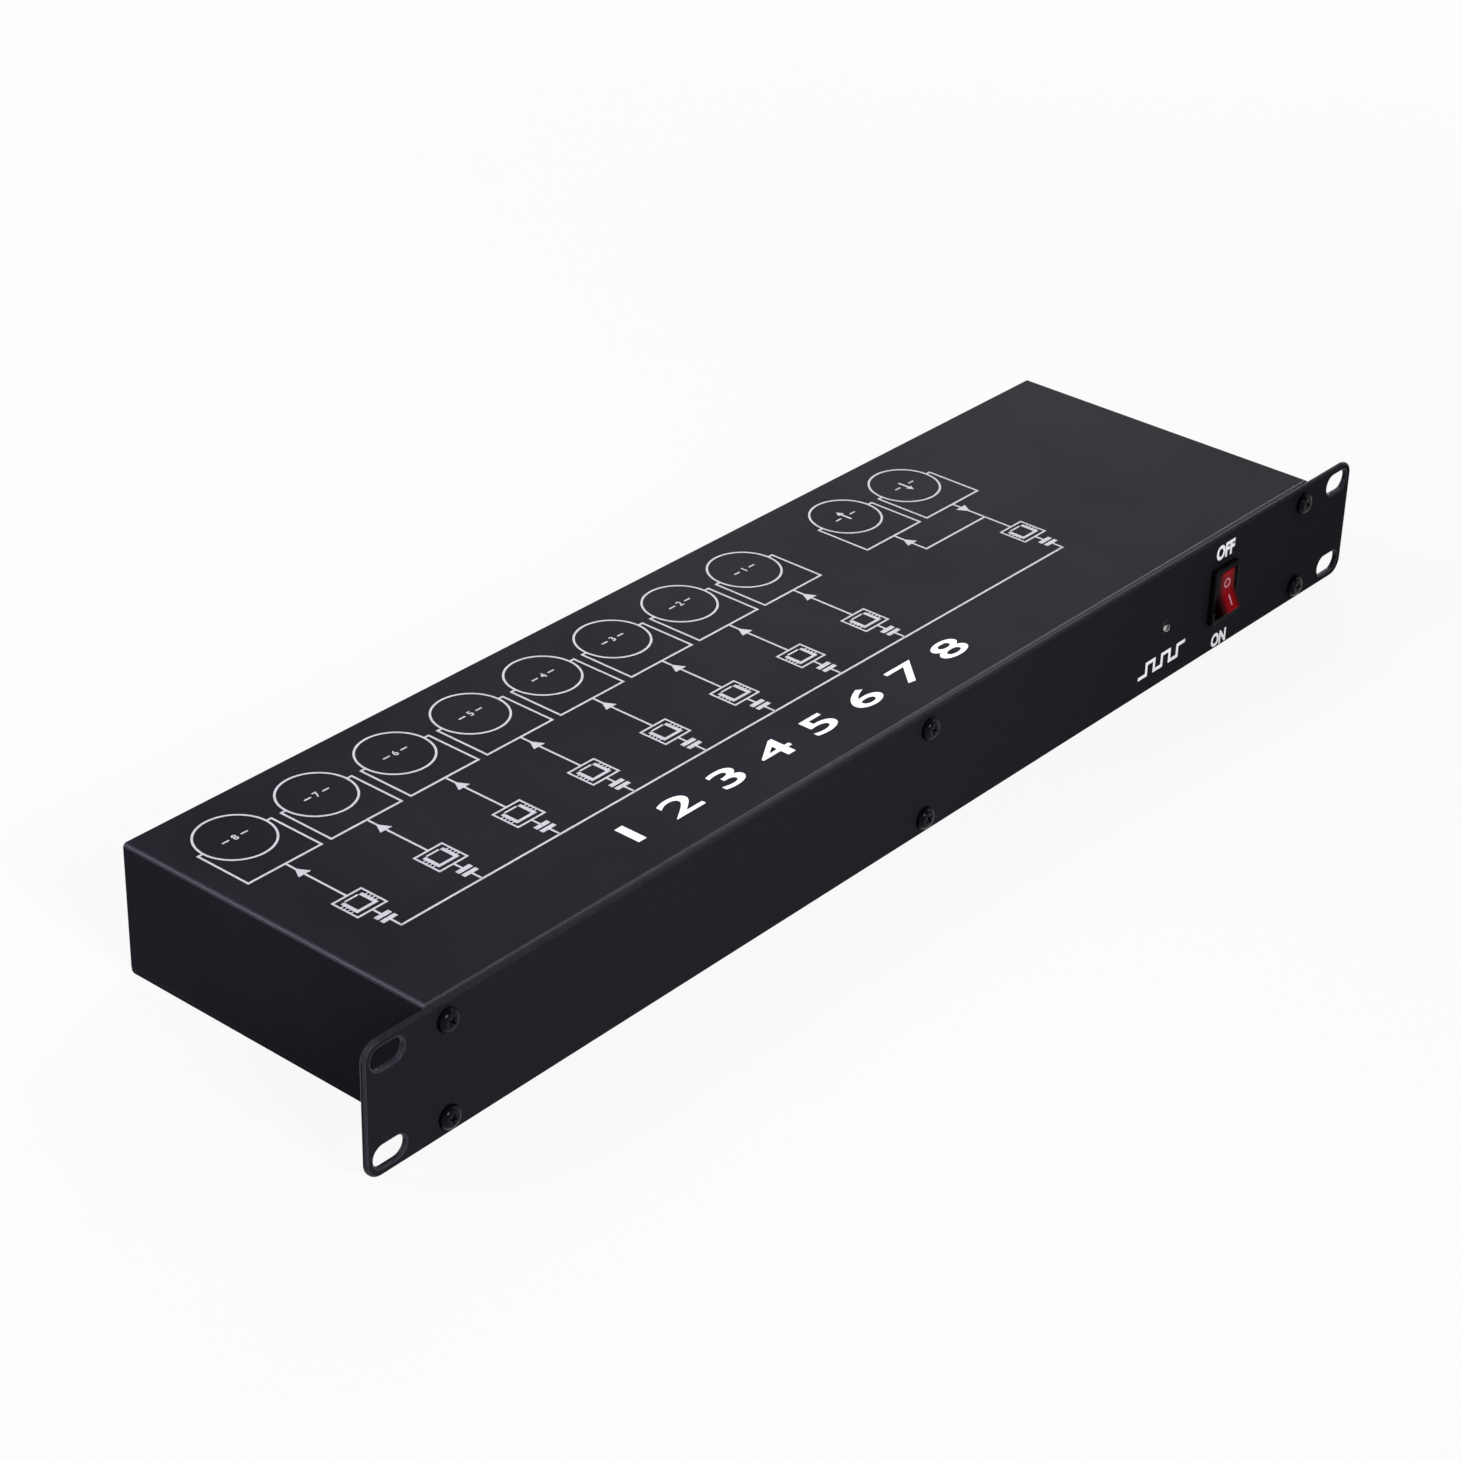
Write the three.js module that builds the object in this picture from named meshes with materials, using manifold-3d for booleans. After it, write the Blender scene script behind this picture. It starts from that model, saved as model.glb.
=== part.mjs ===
// A one-unit rack splitter for stage lighting data: a flat steel case behind a nineteen inch
// panel, with a switch and a lamp at the front and a row of round sockets at the rear.
//
// The frame: X runs to the right as seen from the front, Y runs from the front to the rear,
// Z runs up. The origin is at the centre of the case's underside. Lengths are millimetres.

import * as THREE from 'three';
import { mergeVertices } from 'three/addons/utils/BufferGeometryUtils.js';
import Module from 'manifold-3d';

const wasm = await Module();
wasm.setup();

// Driving dimensions

// The rack panel
const PANEL_WIDTH = 482.6;
const PANEL_HEIGHT = 44;
const PANEL_THICKNESS = 2;
const PANEL_CORNER_RADIUS = 5.5;
const PANEL_EDGE_ROUNDING = 0.8;
const RACK_SLOT_INSET = 8.75;
const RACK_SLOT_SPACING = 31.75;
const RACK_SLOT_LENGTH = 12.2;
const RACK_SLOT_HEIGHT = 7.1;

// The sheet steel case
const EAR_WIDTH = 24.8;
const CASE_DEPTH = 120;
const SHEET = 1.2;
const BEND_INNER_RADIUS = 0.6;
const SHEET_GAP = 0.3;
const RETURN_FLANGE_WIDTH = 12;
const RETURN_FLANGE_SETBACK = 1;
const FRONT_FLANGE_HEIGHT = 11;
const TOP_FLANGE_DEPTH = 8;

// The pan head screws of the panel and their pressed nuts
const PANEL_SCREW_INSET_X = 6;
const PANEL_SCREW_INSET_Z = 6;
const PANEL_SCREW_RADIUS = 2;
const PANEL_SCREW_LENGTH = 8;
const PANEL_SCREW_HEAD_RADIUS = 3.75;
const PANEL_SCREW_HEAD_HEIGHT = 2.4;
const PANEL_SCREW_HOLE_GAP = 0.25;
const PANEL_NUT_WALL = 1.3;
const PANEL_NUT_LENGTH = 2.6;
const RECESS_WIDTH = 0.9;
const RECESS_REACH = 2;
const RECESS_DEPTH = 1.3;

// The countersunk screws of the cover and their pressed nuts
const COVER_SCREW_INSET_Y = 20;
const COVER_SCREW_RADIUS = 1.5;
const COVER_SCREW_LENGTH = 6;
const COVER_SCREW_HEAD_RADIUS = 2.7;
const COVER_SCREW_SUNK = 0.1;
const COVER_SCREW_HOLE_GAP = 0.2;
const COVER_NUT_WALL = 1.2;
const COVER_NUT_LENGTH = 2;
const COVER_RECESS_WIDTH = 0.7;
const COVER_RECESS_REACH = 1.4;
const COVER_RECESS_DEPTH = 0.8;

// Where the rear connectors stand
const SOCKET_PITCH = 32.08;
const FIRST_SOCKET_FROM_SIDE = 23.8;
const INPUT_FROM_SIDE = 99.9;
const THRU_EXTRA_GAP = 20.5;
const INLET_FROM_SIDE = 41.5;

// What all round connectors share
const FLANGE_WIDTH = 26;
const FLANGE_HEIGHT = 31;
const FLANGE_THICKNESS = 2;
const FLANGE_CORNER_RADIUS = 3;
const FLANGE_SCREW_SPACING_X = 19;
const FLANGE_SCREW_SPACING_Z = 24;
const FLANGE_SCREW_HOLE_RADIUS = 1.6;
const CUTOUT_RADIUS = 12;
const BARREL_GAP = 0.3;
const NOSE_RADIUS = 12.3;
const CONTACT_RING_RADIUS = 5.05;

// The female sockets, with an insert and a push latch
const SOCKET_BORE_RADIUS = 9.8;
const SOCKET_NOSE_LENGTH = 2.5;
const SOCKET_BARREL_LENGTH = 22;
const SOCKET_FLOOR = 2;
const SOCKET_SPIGOT_HOLE_RADIUS = 6.5;
const INSERT_RADIUS = 7.8;
const INSERT_RECESS = 1;
const INSERT_GAP = 0.3;
const SPIGOT_OVERHANG = 2;
const CONTACT_HOLE_RADIUS = 1.4;
const CONTACT_HOLE_DEPTH = 12;
const LATCH_WIDTH = 6;
const LATCH_THICKNESS = 1.4;
const LATCH_STEM_LENGTH = 15;
const LATCH_HEAD_WIDTH = 8.4;
const LATCH_HEAD_HEIGHT = 3.6;
const LATCH_HEAD_LENGTH = 4.6;
const LATCH_HEAD_ROUNDING = 0.8;
const LATCH_TRAVEL = 2;
const LATCH_GAP = 0.3;
const LATCH_HOOK_DROP = 0.9;
const LATCH_HOOK_LENGTH = 1.6;
const LATCH_HOOK_FROM_FLANGE = 6;

// The male input
const INPUT_BORE_RADIUS = 9.5;
const INPUT_NOSE_LENGTH = 1.4;
const INPUT_BARREL_LENGTH = 16;
const INPUT_FLOOR = 2;
const INPUT_INSERT_THICKNESS = 3;
const INPUT_PIN_RADIUS = 1.2;
const INPUT_PIN_TIP_LENGTH = 1;
const INPUT_PIN_RECESS = 1.5;
const INPUT_PIN_TAIL = 4;
const INPUT_PIN_GAP = 0.3;

// The mains inlet with its fuse drawer
const INLET_FLANGE_WIDTH = 50;
const INLET_FLANGE_HEIGHT = 34;
const INLET_FLANGE_THICKNESS = 2.4;
const INLET_FLANGE_CORNER_RADIUS = 4;
const INLET_SCREW_SPACING = 40;
const INLET_BODY_WIDTH = 27.4;
const INLET_BODY_HEIGHT = 31;
const INLET_BODY_DEPTH = 22;
const INLET_BODY_GAP = 0.3;
const INLET_WALL = 1.4;
const PLUG_RECESS_WIDTH = 24.2;
const PLUG_RECESS_HEIGHT = 16.6;
const PLUG_RECESS_DEPTH = 16.4;
const PLUG_RECESS_CHAMFER = 4.6;
const BLADE_WIDTH = 4;
const BLADE_THICKNESS = 2;
const BLADE_SPACING = 14;
const BLADE_STEP = 4;
const BLADE_TIP_RECESS = 2.6;
const BLADE_TAB_LENGTH = 7;
const BLADE_GAP = 0.3;
const DRAWER_WIDTH = 23;
const DRAWER_HEIGHT = 7.8;
const DRAWER_LENGTH = 18;
const DRAWER_WALL = 1;
const DRAWER_GAP = 0.3;
const DRAWER_FACE_WIDTH = 25;
const DRAWER_FACE_HEIGHT = 9.4;
const DRAWER_FACE_THICKNESS = 1.8;
const DRAWER_GRIP_WIDTH = 9;
const DRAWER_GRIP_DEPTH = 1;
const FUSE_LENGTH = 20;
const FUSE_RADIUS = 2.5;
const FUSE_CAP_RADIUS = 2.65;
const FUSE_CAP_LENGTH = 5;
const FUSE_FROM_FACE = 9;
const FUSE_SEAT_GAP = 0.2;

// The rocker switch
const SWITCH_FROM_SIDE = 53.5;
const BEZEL_WIDTH = 15;
const BEZEL_HEIGHT = 21;
const BEZEL_THICKNESS = 2;
const BEZEL_CORNER_RADIUS = 1.2;
const BEZEL_EDGE_ROUNDING = 0.5;
const SWITCH_BODY_WIDTH = 12.8;
const SWITCH_BODY_HEIGHT = 19;
const SWITCH_BODY_DEPTH = 15;
const SWITCH_CUTOUT_GAP = 0.2;
const WELL_WIDTH = 11;
const WELL_HEIGHT = 17.2;
const WELL_DEPTH = 9.5;
const ROCKER_SIDE_GAP = 0.3;
const ROCKER_END_GAP = 0.4;
const ROCKER_FACE_DISTANCE = 2.9;
const ROCKER_PIVOT_DEPTH = 1.2;
const ROCKER_KEEL_DEPTH = 4.4;
const ROCKER_KEEL_WIDTH = 8;
const ROCKER_WAIST_NARROWING = 0.4;
const TRUNNION_RADIUS = 1.1;
const TRUNNION_LENGTH = 0.6;
const TRUNNION_GAP = 0.3;
const SWITCH_TAB_WIDTH = 4.8;
const SWITCH_TAB_THICKNESS = 0.8;
const SWITCH_TAB_LENGTH = 7;
const SWITCH_TAB_SPACING = 9;

// The signal lamp
const LED_FROM_SIDE = 87;
const LED_HEIGHT_ABOVE_BASE = 21.4;
const LED_RADIUS = 1.5;
const LED_PROUD = 1.7;
const LED_RIM_RADIUS = 2.2;
const LED_RIM_THICKNESS = 1;
const LED_HOLE_GAP = 0.2;
const LED_LEG_LENGTH = 6;
const LED_LEG_WIDTH = 0.6;
const LED_LEG_SPACING = 2.54;

// The circuit board and what is soldered to it
const POST_HEIGHT = 6.8;
const POST_RADIUS = 3;
const POST_TIP_RADIUS = 1.5;
const POST_TIP_LENGTH = 3.4;
const POST_TIP_GAP = 0.3;
const POST_INSET = 5;
const BOARD_THICKNESS = 1.6;
const BOARD_DEPTH = 66;
const BOARD_FROM_REAR = 18;
const BOARD_SIDE_GAP = 4;
const BOARD_NOTCH_GAP = 2;
const CONTACT_POST_THICKNESS = 1;
const CONTACT_POST_GAP = 0.3;
const CHIP_WIDTH = 5;
const CHIP_DEPTH = 4;
const CHIP_HEIGHT = 1.7;
const CHIP_FROM_EDGE = 26;
const CAPACITOR_RADIUS = 8;
const CAPACITOR_HEIGHT = 25;
const HEAT_SINK_WIDTH = 22;
const HEAT_SINK_DEPTH = 10;
const HEAT_SINK_HEIGHT = 20;
const HEAT_SINK_FIN = 1.5;
const TERMINAL_WIDTH = 16;
const TERMINAL_DEPTH = 8;
const TERMINAL_HEIGHT = 10;
const SOLDERED_PART_FROM_FRONT = 18;
const CAPACITOR_FROM_SIDE = 158.5;
const HEAT_SINK_FROM_SIDE = 124.5;

// The mains transformer
const TRANSFORMER_FROM_SIDE = 78.5;
const CORE_WIDTH = 35;
const CORE_DEPTH = 15;
const CORE_HEIGHT = 28;
const COIL_WIDTH = 20;
const COIL_DEPTH = 27;
const COIL_HEIGHT = 17;

// The internal leads
const LEAD_RADIUS = 1.1;
const LEAD_END_GAP = 0.3;
const LEAD_STRAIGHT = 5;
const LEAD_STEPS = 10;
const LEAD_SIDES = 6;

// Round forms, and how far a cutting tool runs past what it cuts
const ROUND_SIDES = 20;
const SCREW_SIDES = 12;
const SMALL_ROUND_SIDES = 10;
const HOLE_SIDES = 6;
const BEND_STEPS = 2;
const CORNER_STEPS = 4;
const DOME_STEPS = 2;
const OVERRUN = 1;

// Angles and shares
const ROCKER_HALF_TRAVEL = THREE.MathUtils.degToRad(13.5);
const SCREW_RIM_SHARE = 0.3;
const FLAT_ON_DOME_SHARE = 0.3;

// Sizes that follow from the driving dimensions

const caseWidth = PANEL_WIDTH - 2 * EAR_WIDTH;
const caseHeight = PANEL_HEIGHT;
const right = caseWidth / 2;
const left = -right;
const rear = CASE_DEPTH / 2;
const front = -rear;
const panelFront = front - PANEL_THICKNESS;
const centreZ = caseHeight / 2;
const bendOuterRadius = BEND_INNER_RADIUS + SHEET;
const sideFootZ = SHEET + SHEET_GAP;
const returnFlangeEdge = right - SHEET - RETURN_FLANGE_WIDTH;
const trayEnd = right - SHEET - SHEET_GAP;
const trayFront = front + SHEET + SHEET_GAP;
const rearWallTop = caseHeight - SHEET - SHEET_GAP;
const barrelRadius = CUTOUT_RADIUS - BARREL_GAP;
const boardBottom = SHEET + POST_HEIGHT;
const boardTop = boardBottom + BOARD_THICKNESS;
const boardRear = rear - BOARD_FROM_REAR;
const boardFront = boardRear - BOARD_DEPTH;
const boardEnd = returnFlangeEdge - BOARD_SIDE_GAP;
const panelScrewX = right - PANEL_SCREW_INSET_X;
const coverScrewX = right - SHEET - RETURN_FLANGE_WIDTH / 2;
const coverScrewY = rear - COVER_SCREW_INSET_Y;

// As many outputs as the case has room for, beside the wider gap before the thru socket
const socketSpread = caseWidth - FIRST_SOCKET_FROM_SIDE - THRU_EXTRA_GAP - INPUT_FROM_SIDE;
const outputCount = Math.floor(socketSpread / SOCKET_PITCH) - 1;
const firstSocketX = left + FIRST_SOCKET_FROM_SIDE;
const inputX = right - INPUT_FROM_SIDE;
const thruX = inputX - SOCKET_PITCH;
const inletX = right - INLET_FROM_SIDE;
const switchX = right - SWITCH_FROM_SIDE;
const ledX = right - LED_FROM_SIDE;
const capacitorX = right - CAPACITOR_FROM_SIDE;
const heatSinkX = right - HEAT_SINK_FROM_SIDE;
const transformerX = right - TRANSFORMER_FROM_SIDE;
const socketXs = [...Array(outputCount).keys()].map((k) => firstSocketX + k * SOCKET_PITCH);
const roundConnectorXs = [...socketXs, thruX, inputX];

// Outputs are numbered from the right, so the one at the far left has the highest number
const sockets = socketXs.map((x, k) => ({ name: `output_${outputCount - k}`, x }));
sockets.push({ name: 'thru', x: thruX });

// Contacts lie on a ring: two on its level diameter and one below
const contactPlaces = [
  { x: CONTACT_RING_RADIUS, z: 0 },
  { x: -CONTACT_RING_RADIUS, z: 0 },
  { x: 0, z: -CONTACT_RING_RADIUS },
];

// Materials

function makeMaterial(color, roughness, metalness) {
  return new THREE.MeshStandardMaterial({ color, roughness, metalness, flatShading: true });
}

const blackSteel = makeMaterial(0x232326, 0.55, 0.2);
const blackScrew = makeMaterial(0x101012, 0.35, 0.7);
const blackShell = makeMaterial(0x1a1a1c, 0.45, 0.4);
const blackInsert = makeMaterial(0x0f0f11, 0.6, 0);
const blackPlastic = makeMaterial(0x141416, 0.5, 0);
const nickel = makeMaterial(0xb9b8b2, 0.3, 1);
const redPlastic = makeMaterial(0xa00008, 0.25, 0);
const clearLens = makeMaterial(0xe8ece8, 0.15, 0);
const fuseGlass = makeMaterial(0xdfe6e4, 0.1, 0);
const greenBoard = makeMaterial(0x1c5a32, 0.5, 0);
const ironCore = makeMaterial(0x54504a, 0.6, 0.5);
const brownLead = makeMaterial(0x5a3420, 0.6, 0);
const blueLead = makeMaterial(0x22509a, 0.6, 0);
const redLead = makeMaterial(0x9a1c1c, 0.6, 0);

// Solids: closed meshes that can be joined and cut

const AXIS_X = new THREE.Vector3(1, 0, 0);
const AXIS_Y = new THREE.Vector3(0, 1, 0);
const AXIS_Z = new THREE.Vector3(0, 0, 1);

function withoutEmptyTriangles(index) {
  const kept = [];
  for (let i = 0; i < index.length; i += 3) {
    const [a, b, c] = [index[i], index[i + 1], index[i + 2]];
    if (a !== b && b !== c && c !== a) {
      kept.push(a, b, c);
    }
  }
  return new Uint32Array(kept);
}

function solid(geometry) {
  geometry.deleteAttribute('normal');
  geometry.deleteAttribute('uv');
  const merged = mergeVertices(geometry);
  return new wasm.Manifold(new wasm.Mesh({
    numProp: 3,
    vertProperties: new Float32Array(merged.attributes.position.array),
    triVerts: withoutEmptyTriangles(merged.index.array),
  }));
}

function join(solids) {
  return solids.reduce((sum, next) => sum.add(next));
}

function cut(body, tools) {
  return tools.reduce((rest, tool) => rest.subtract(tool), body);
}

function geometryOf(body) {
  const mesh = body.getMesh();
  const geometry = new THREE.BufferGeometry();
  geometry.setAttribute('position', new THREE.BufferAttribute(mesh.vertProperties, 3));
  geometry.setIndex(new THREE.BufferAttribute(mesh.triVerts, 1));
  geometry.computeVertexNormals();
  return geometry;
}

function named(name, geometry, material) {
  const mesh = new THREE.Mesh(geometry, material);
  mesh.name = name;
  return mesh;
}

// A block between two values on each axis
function block([x0, x1], [y0, y1], [z0, z1]) {
  const geometry = new THREE.BoxGeometry(x1 - x0, y1 - y0, z1 - z0);
  geometry.translate((x0 + x1) / 2, (y0 + y1) / 2, (z0 + z1) / 2);
  return solid(geometry);
}

// Two values at equal distances on either side of a middle
function around(middle, width) {
  return [middle - width / 2, middle + width / 2];
}

function rodAlongY(radius, [y0, y1], x = 0, z = 0, sides = ROUND_SIDES) {
  const geometry = new THREE.CylinderGeometry(radius, radius, y1 - y0, sides);
  geometry.translate(x, (y0 + y1) / 2, z);
  return solid(geometry);
}

function rodAlongX(radius, [x0, x1], y = 0, z = 0, sides = ROUND_SIDES) {
  const geometry = new THREE.CylinderGeometry(radius, radius, x1 - x0, sides);
  geometry.rotateZ(-Math.PI / 2);
  geometry.translate((x0 + x1) / 2, y, z);
  return solid(geometry);
}

// An upright rod or cone, with a radius at its foot and another at its top
function coneAlongZ(footRadius, topRadius, [z0, z1], x = 0, y = 0, sides = ROUND_SIDES) {
  const geometry = new THREE.CylinderGeometry(topRadius, footRadius, z1 - z0, sides);
  geometry.rotateX(Math.PI / 2);
  geometry.translate(x, y, (z0 + z1) / 2);
  return solid(geometry);
}

function rodAlongZ(radius, span, x = 0, y = 0, sides = ROUND_SIDES) {
  return coneAlongZ(radius, radius, span, x, y, sides);
}

// A turned solid about Y, from a profile of radius and distance along Y
function turned(profile, sides) {
  const points = profile.map(([radius, y]) => new THREE.Vector2(radius, y));
  return solid(new THREE.LatheGeometry(points, sides));
}

// An outline drawn in X and Z, made as thick as the span along Y
function plateAlongY(outline, [y0, y1]) {
  const options = { depth: y1 - y0, bevelEnabled: false, curveSegments: CORNER_STEPS };
  const geometry = new THREE.ExtrudeGeometry(outline, options);
  const turn = new THREE.Matrix4().makeBasis(AXIS_X, AXIS_Z, AXIS_Y.clone().negate());
  geometry.applyMatrix4(turn);
  geometry.translate(0, y1, 0);
  return solid(geometry);
}

// The same with its front edges, the ones at the lower Y, rounded over
function plateWithRoundFront(outline, [y0, y1], rounding) {
  const options = {
    depth: y1 - y0,
    bevelEnabled: true,
    bevelThickness: rounding,
    bevelSize: rounding,
    bevelOffset: -rounding,
    bevelSegments: BEND_STEPS,
    curveSegments: CORNER_STEPS,
  };
  const geometry = new THREE.ExtrudeGeometry(outline, options);
  const turn = new THREE.Matrix4().makeBasis(AXIS_X, AXIS_Z, AXIS_Y.clone().negate());
  geometry.applyMatrix4(turn);
  geometry.translate(0, y1 + rounding, 0);
  const extent = new THREE.Box3().setFromBufferAttribute(geometry.getAttribute('position'));
  const keep = block([extent.min.x - OVERRUN, extent.max.x + OVERRUN], [y0, y1],
    [extent.min.z - OVERRUN, extent.max.z + OVERRUN]);
  return solid(geometry).intersect(keep);
}

// An outline drawn in Y and Z, run along X
function barAlongX(outline, [x0, x1]) {
  const options = { depth: x1 - x0, bevelEnabled: false, curveSegments: CORNER_STEPS };
  const geometry = new THREE.ExtrudeGeometry(outline, options);
  geometry.applyMatrix4(new THREE.Matrix4().makeBasis(AXIS_Y, AXIS_Z, AXIS_X));
  geometry.translate(x0, 0, 0);
  return solid(geometry);
}

// A closed outline whose corners are given as two places and, where it is round, a radius
function roundedOutline(corners) {
  const points = [];
  corners.forEach(([u, v, radius], i) => {
    const corner = new THREE.Vector2(u, v);
    if (!radius) {
      points.push(corner);
      return;
    }
    const [beforeU, beforeV] = corners[(i + corners.length - 1) % corners.length];
    const [afterU, afterV] = corners[(i + 1) % corners.length];
    const toBefore = new THREE.Vector2(beforeU, beforeV).sub(corner).normalize();
    const toAfter = new THREE.Vector2(afterU, afterV).sub(corner).normalize();
    const halfAngle = Math.acos(toBefore.dot(toAfter)) / 2;
    const inwards = toBefore.clone().add(toAfter).normalize();
    const centre = corner.clone().addScaledVector(inwards, radius / Math.sin(halfAngle));
    const start = corner.clone().addScaledVector(toBefore, radius / Math.tan(halfAngle)).sub(centre);
    const end = corner.clone().addScaledVector(toAfter, radius / Math.tan(halfAngle)).sub(centre);
    const startAngle = Math.atan2(start.y, start.x);
    const sweep = Math.atan2(start.cross(end), start.dot(end));
    for (let step = 0; step <= BEND_STEPS; step += 1) {
      const angle = startAngle + (sweep * step) / BEND_STEPS;
      const spoke = new THREE.Vector2(Math.cos(angle), Math.sin(angle));
      points.push(centre.clone().addScaledVector(spoke, radius));
    }
  });
  return new THREE.Shape(points);
}

function rectangle(width, height, radius, x = 0, z = 0) {
  const [x0, x1] = around(x, width);
  const [z0, z1] = around(z, height);
  return roundedOutline([[x0, z0, radius], [x1, z0, radius], [x1, z1, radius], [x0, z1, radius]]);
}

// An outline with straight long sides and half round ends
function stadium(length, height, x = 0, z = 0) {
  const radius = height / 2;
  const reach = length / 2 - radius;
  const outline = new THREE.Shape();
  outline.absarc(x + reach, z, radius, -Math.PI / 2, Math.PI / 2);
  outline.absarc(x - reach, z, radius, Math.PI / 2, -Math.PI / 2);
  outline.closePath();
  return outline;
}

// Places that several pieces share

const panelScrewPlaces = [left + PANEL_SCREW_INSET_X, 0, panelScrewX].flatMap((x) => [
  { x, z: caseHeight - PANEL_SCREW_INSET_Z, upper: true },
  { x, z: PANEL_SCREW_INSET_Z, upper: false },
]);

const coverScrewPlaces = [-coverScrewX, coverScrewX].flatMap((x) => [
  { x, y: -coverScrewY },
  { x, y: coverScrewY },
]);

const flangeScrewPlaces = [
  { x: -FLANGE_SCREW_SPACING_X / 2, z: FLANGE_SCREW_SPACING_Z / 2 },
  { x: FLANGE_SCREW_SPACING_X / 2, z: -FLANGE_SCREW_SPACING_Z / 2 },
];

const inletScrewXs = around(0, INLET_SCREW_SPACING);

const boardMiddle = (boardFront + boardRear) / 2;
const boardPostPlaces = [POST_INSET - boardEnd, 0, boardEnd - POST_INSET].flatMap((x) => [
  { x, y: boardFront + POST_INSET },
  { x, y: boardMiddle },
]);

// Holes that run through the panel and the case front behind it
function frontHoles(span) {
  const screwHoleRadius = PANEL_SCREW_RADIUS + PANEL_SCREW_HOLE_GAP;
  const screwHoles = panelScrewPlaces.map(({ x, z }) => rodAlongY(
    screwHoleRadius, span, x, z, SCREW_SIDES));
  const switchHole = block(
    around(switchX, SWITCH_BODY_WIDTH + 2 * SWITCH_CUTOUT_GAP), span,
    around(centreZ, SWITCH_BODY_HEIGHT + 2 * SWITCH_CUTOUT_GAP));
  const lampHole = rodAlongY(
    LED_RADIUS + LED_HOLE_GAP, span, ledX, LED_HEIGHT_ABOVE_BASE, SMALL_ROUND_SIDES);
  return [...screwHoles, switchHole, lampHole];
}

// The rack panel: a thick plate with four slots for the rack's bolts
function makeFrontPanel() {
  const outline = rectangle(PANEL_WIDTH, PANEL_HEIGHT, PANEL_CORNER_RADIUS, 0, centreZ);
  const plate = plateWithRoundFront(outline, [panelFront, front], PANEL_EDGE_ROUNDING);
  const span = [panelFront - OVERRUN, front + OVERRUN];
  const slotX = PANEL_WIDTH / 2 - RACK_SLOT_INSET;
  const slots = [-slotX, slotX].flatMap((x) => around(centreZ, RACK_SLOT_SPACING).map(
    (z) => plateAlongY(stadium(RACK_SLOT_LENGTH, RACK_SLOT_HEIGHT, x, z), span)));
  return cut(plate, [...slots, ...frontHoles(span)]);
}

// The cover: top, front and two sides in one bent sheet, with flanges folded in at the feet
function makeTopCover() {
  const outerEnd = roundedOutline([
    [left, 0], [right, 0], [right, caseHeight, bendOuterRadius], [left, caseHeight, bendOuterRadius],
  ]);
  const outerSide = roundedOutline([
    [front, 0], [rear, 0], [rear, caseHeight], [front, caseHeight, bendOuterRadius],
  ]);
  const outer = plateAlongY(outerEnd, [front, rear]).intersect(barAlongX(outerSide, [left, right]));

  const flangeTop = sideFootZ + SHEET;
  const wallX = right - SHEET;
  const roof = caseHeight - SHEET;
  const innerEnd = roundedOutline([
    [-returnFlangeEdge, -OVERRUN], [returnFlangeEdge, -OVERRUN],
    [returnFlangeEdge, flangeTop], [wallX, flangeTop],
    [wallX, roof, BEND_INNER_RADIUS], [-wallX, roof, BEND_INNER_RADIUS],
    [-wallX, flangeTop], [-returnFlangeEdge, flangeTop],
  ]);
  const innerSide = roundedOutline([
    [front + SHEET, -OVERRUN], [rear + OVERRUN, -OVERRUN],
    [rear + OVERRUN, roof], [front + SHEET, roof, BEND_INNER_RADIUS],
  ]);
  const hollow = plateAlongY(innerEnd, [front, rear + OVERRUN]).intersect(
    barAlongX(innerSide, [-wallX, wallX]));

  // The sides stand on the tray's edge, and the front alone reaches down past it
  const underSides = block([left - OVERRUN, right + OVERRUN],
    [front + SHEET, rear + OVERRUN], [-OVERRUN, sideFootZ]);
  const flangeSpanZ = [sideFootZ - OVERRUN, flangeTop + OVERRUN];
  const flangeFront = trayFront + SHEET + PANEL_NUT_LENGTH + RETURN_FLANGE_SETBACK;
  const flangeRear = rear - SHEET - RETURN_FLANGE_SETBACK;
  const flangeEnds = [[-wallX, -returnFlangeEdge + OVERRUN], [returnFlangeEdge - OVERRUN, wallX]]
    .flatMap((spanX) => [
      block(spanX, [front + SHEET, flangeFront], flangeSpanZ),
      block(spanX, [flangeRear, rear + OVERRUN], flangeSpanZ),
    ]);

  const nuts = panelScrewPlaces.filter(({ upper }) => upper).map(({ x, z }) => rodAlongY(
    PANEL_SCREW_RADIUS + PANEL_SCREW_HOLE_GAP + PANEL_NUT_WALL,
    [front + SHEET / 2, front + SHEET + PANEL_NUT_LENGTH], x, z, SCREW_SIDES));
  const coverNuts = coverScrewPlaces.map(({ x, y }) => rodAlongZ(
    COVER_SCREW_RADIUS + COVER_SCREW_HOLE_GAP + COVER_NUT_WALL,
    [flangeTop - SHEET / 2, flangeTop + COVER_NUT_LENGTH], x, y, SMALL_ROUND_SIDES));
  const coverScrewHoles = coverScrewPlaces.map(({ x, y }) => rodAlongZ(
    COVER_SCREW_RADIUS + COVER_SCREW_HOLE_GAP,
    [0, flangeTop + COVER_NUT_LENGTH + OVERRUN], x, y, SMALL_ROUND_SIDES));

  const shell = cut(outer, [hollow, underSides, ...flangeEnds]);
  const throughNuts = [front - OVERRUN, front + SHEET + PANEL_NUT_LENGTH + OVERRUN];
  return cut(join([shell, ...nuts, ...coverNuts]), [...frontHoles(throughNuts), ...coverScrewHoles]);
}

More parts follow.
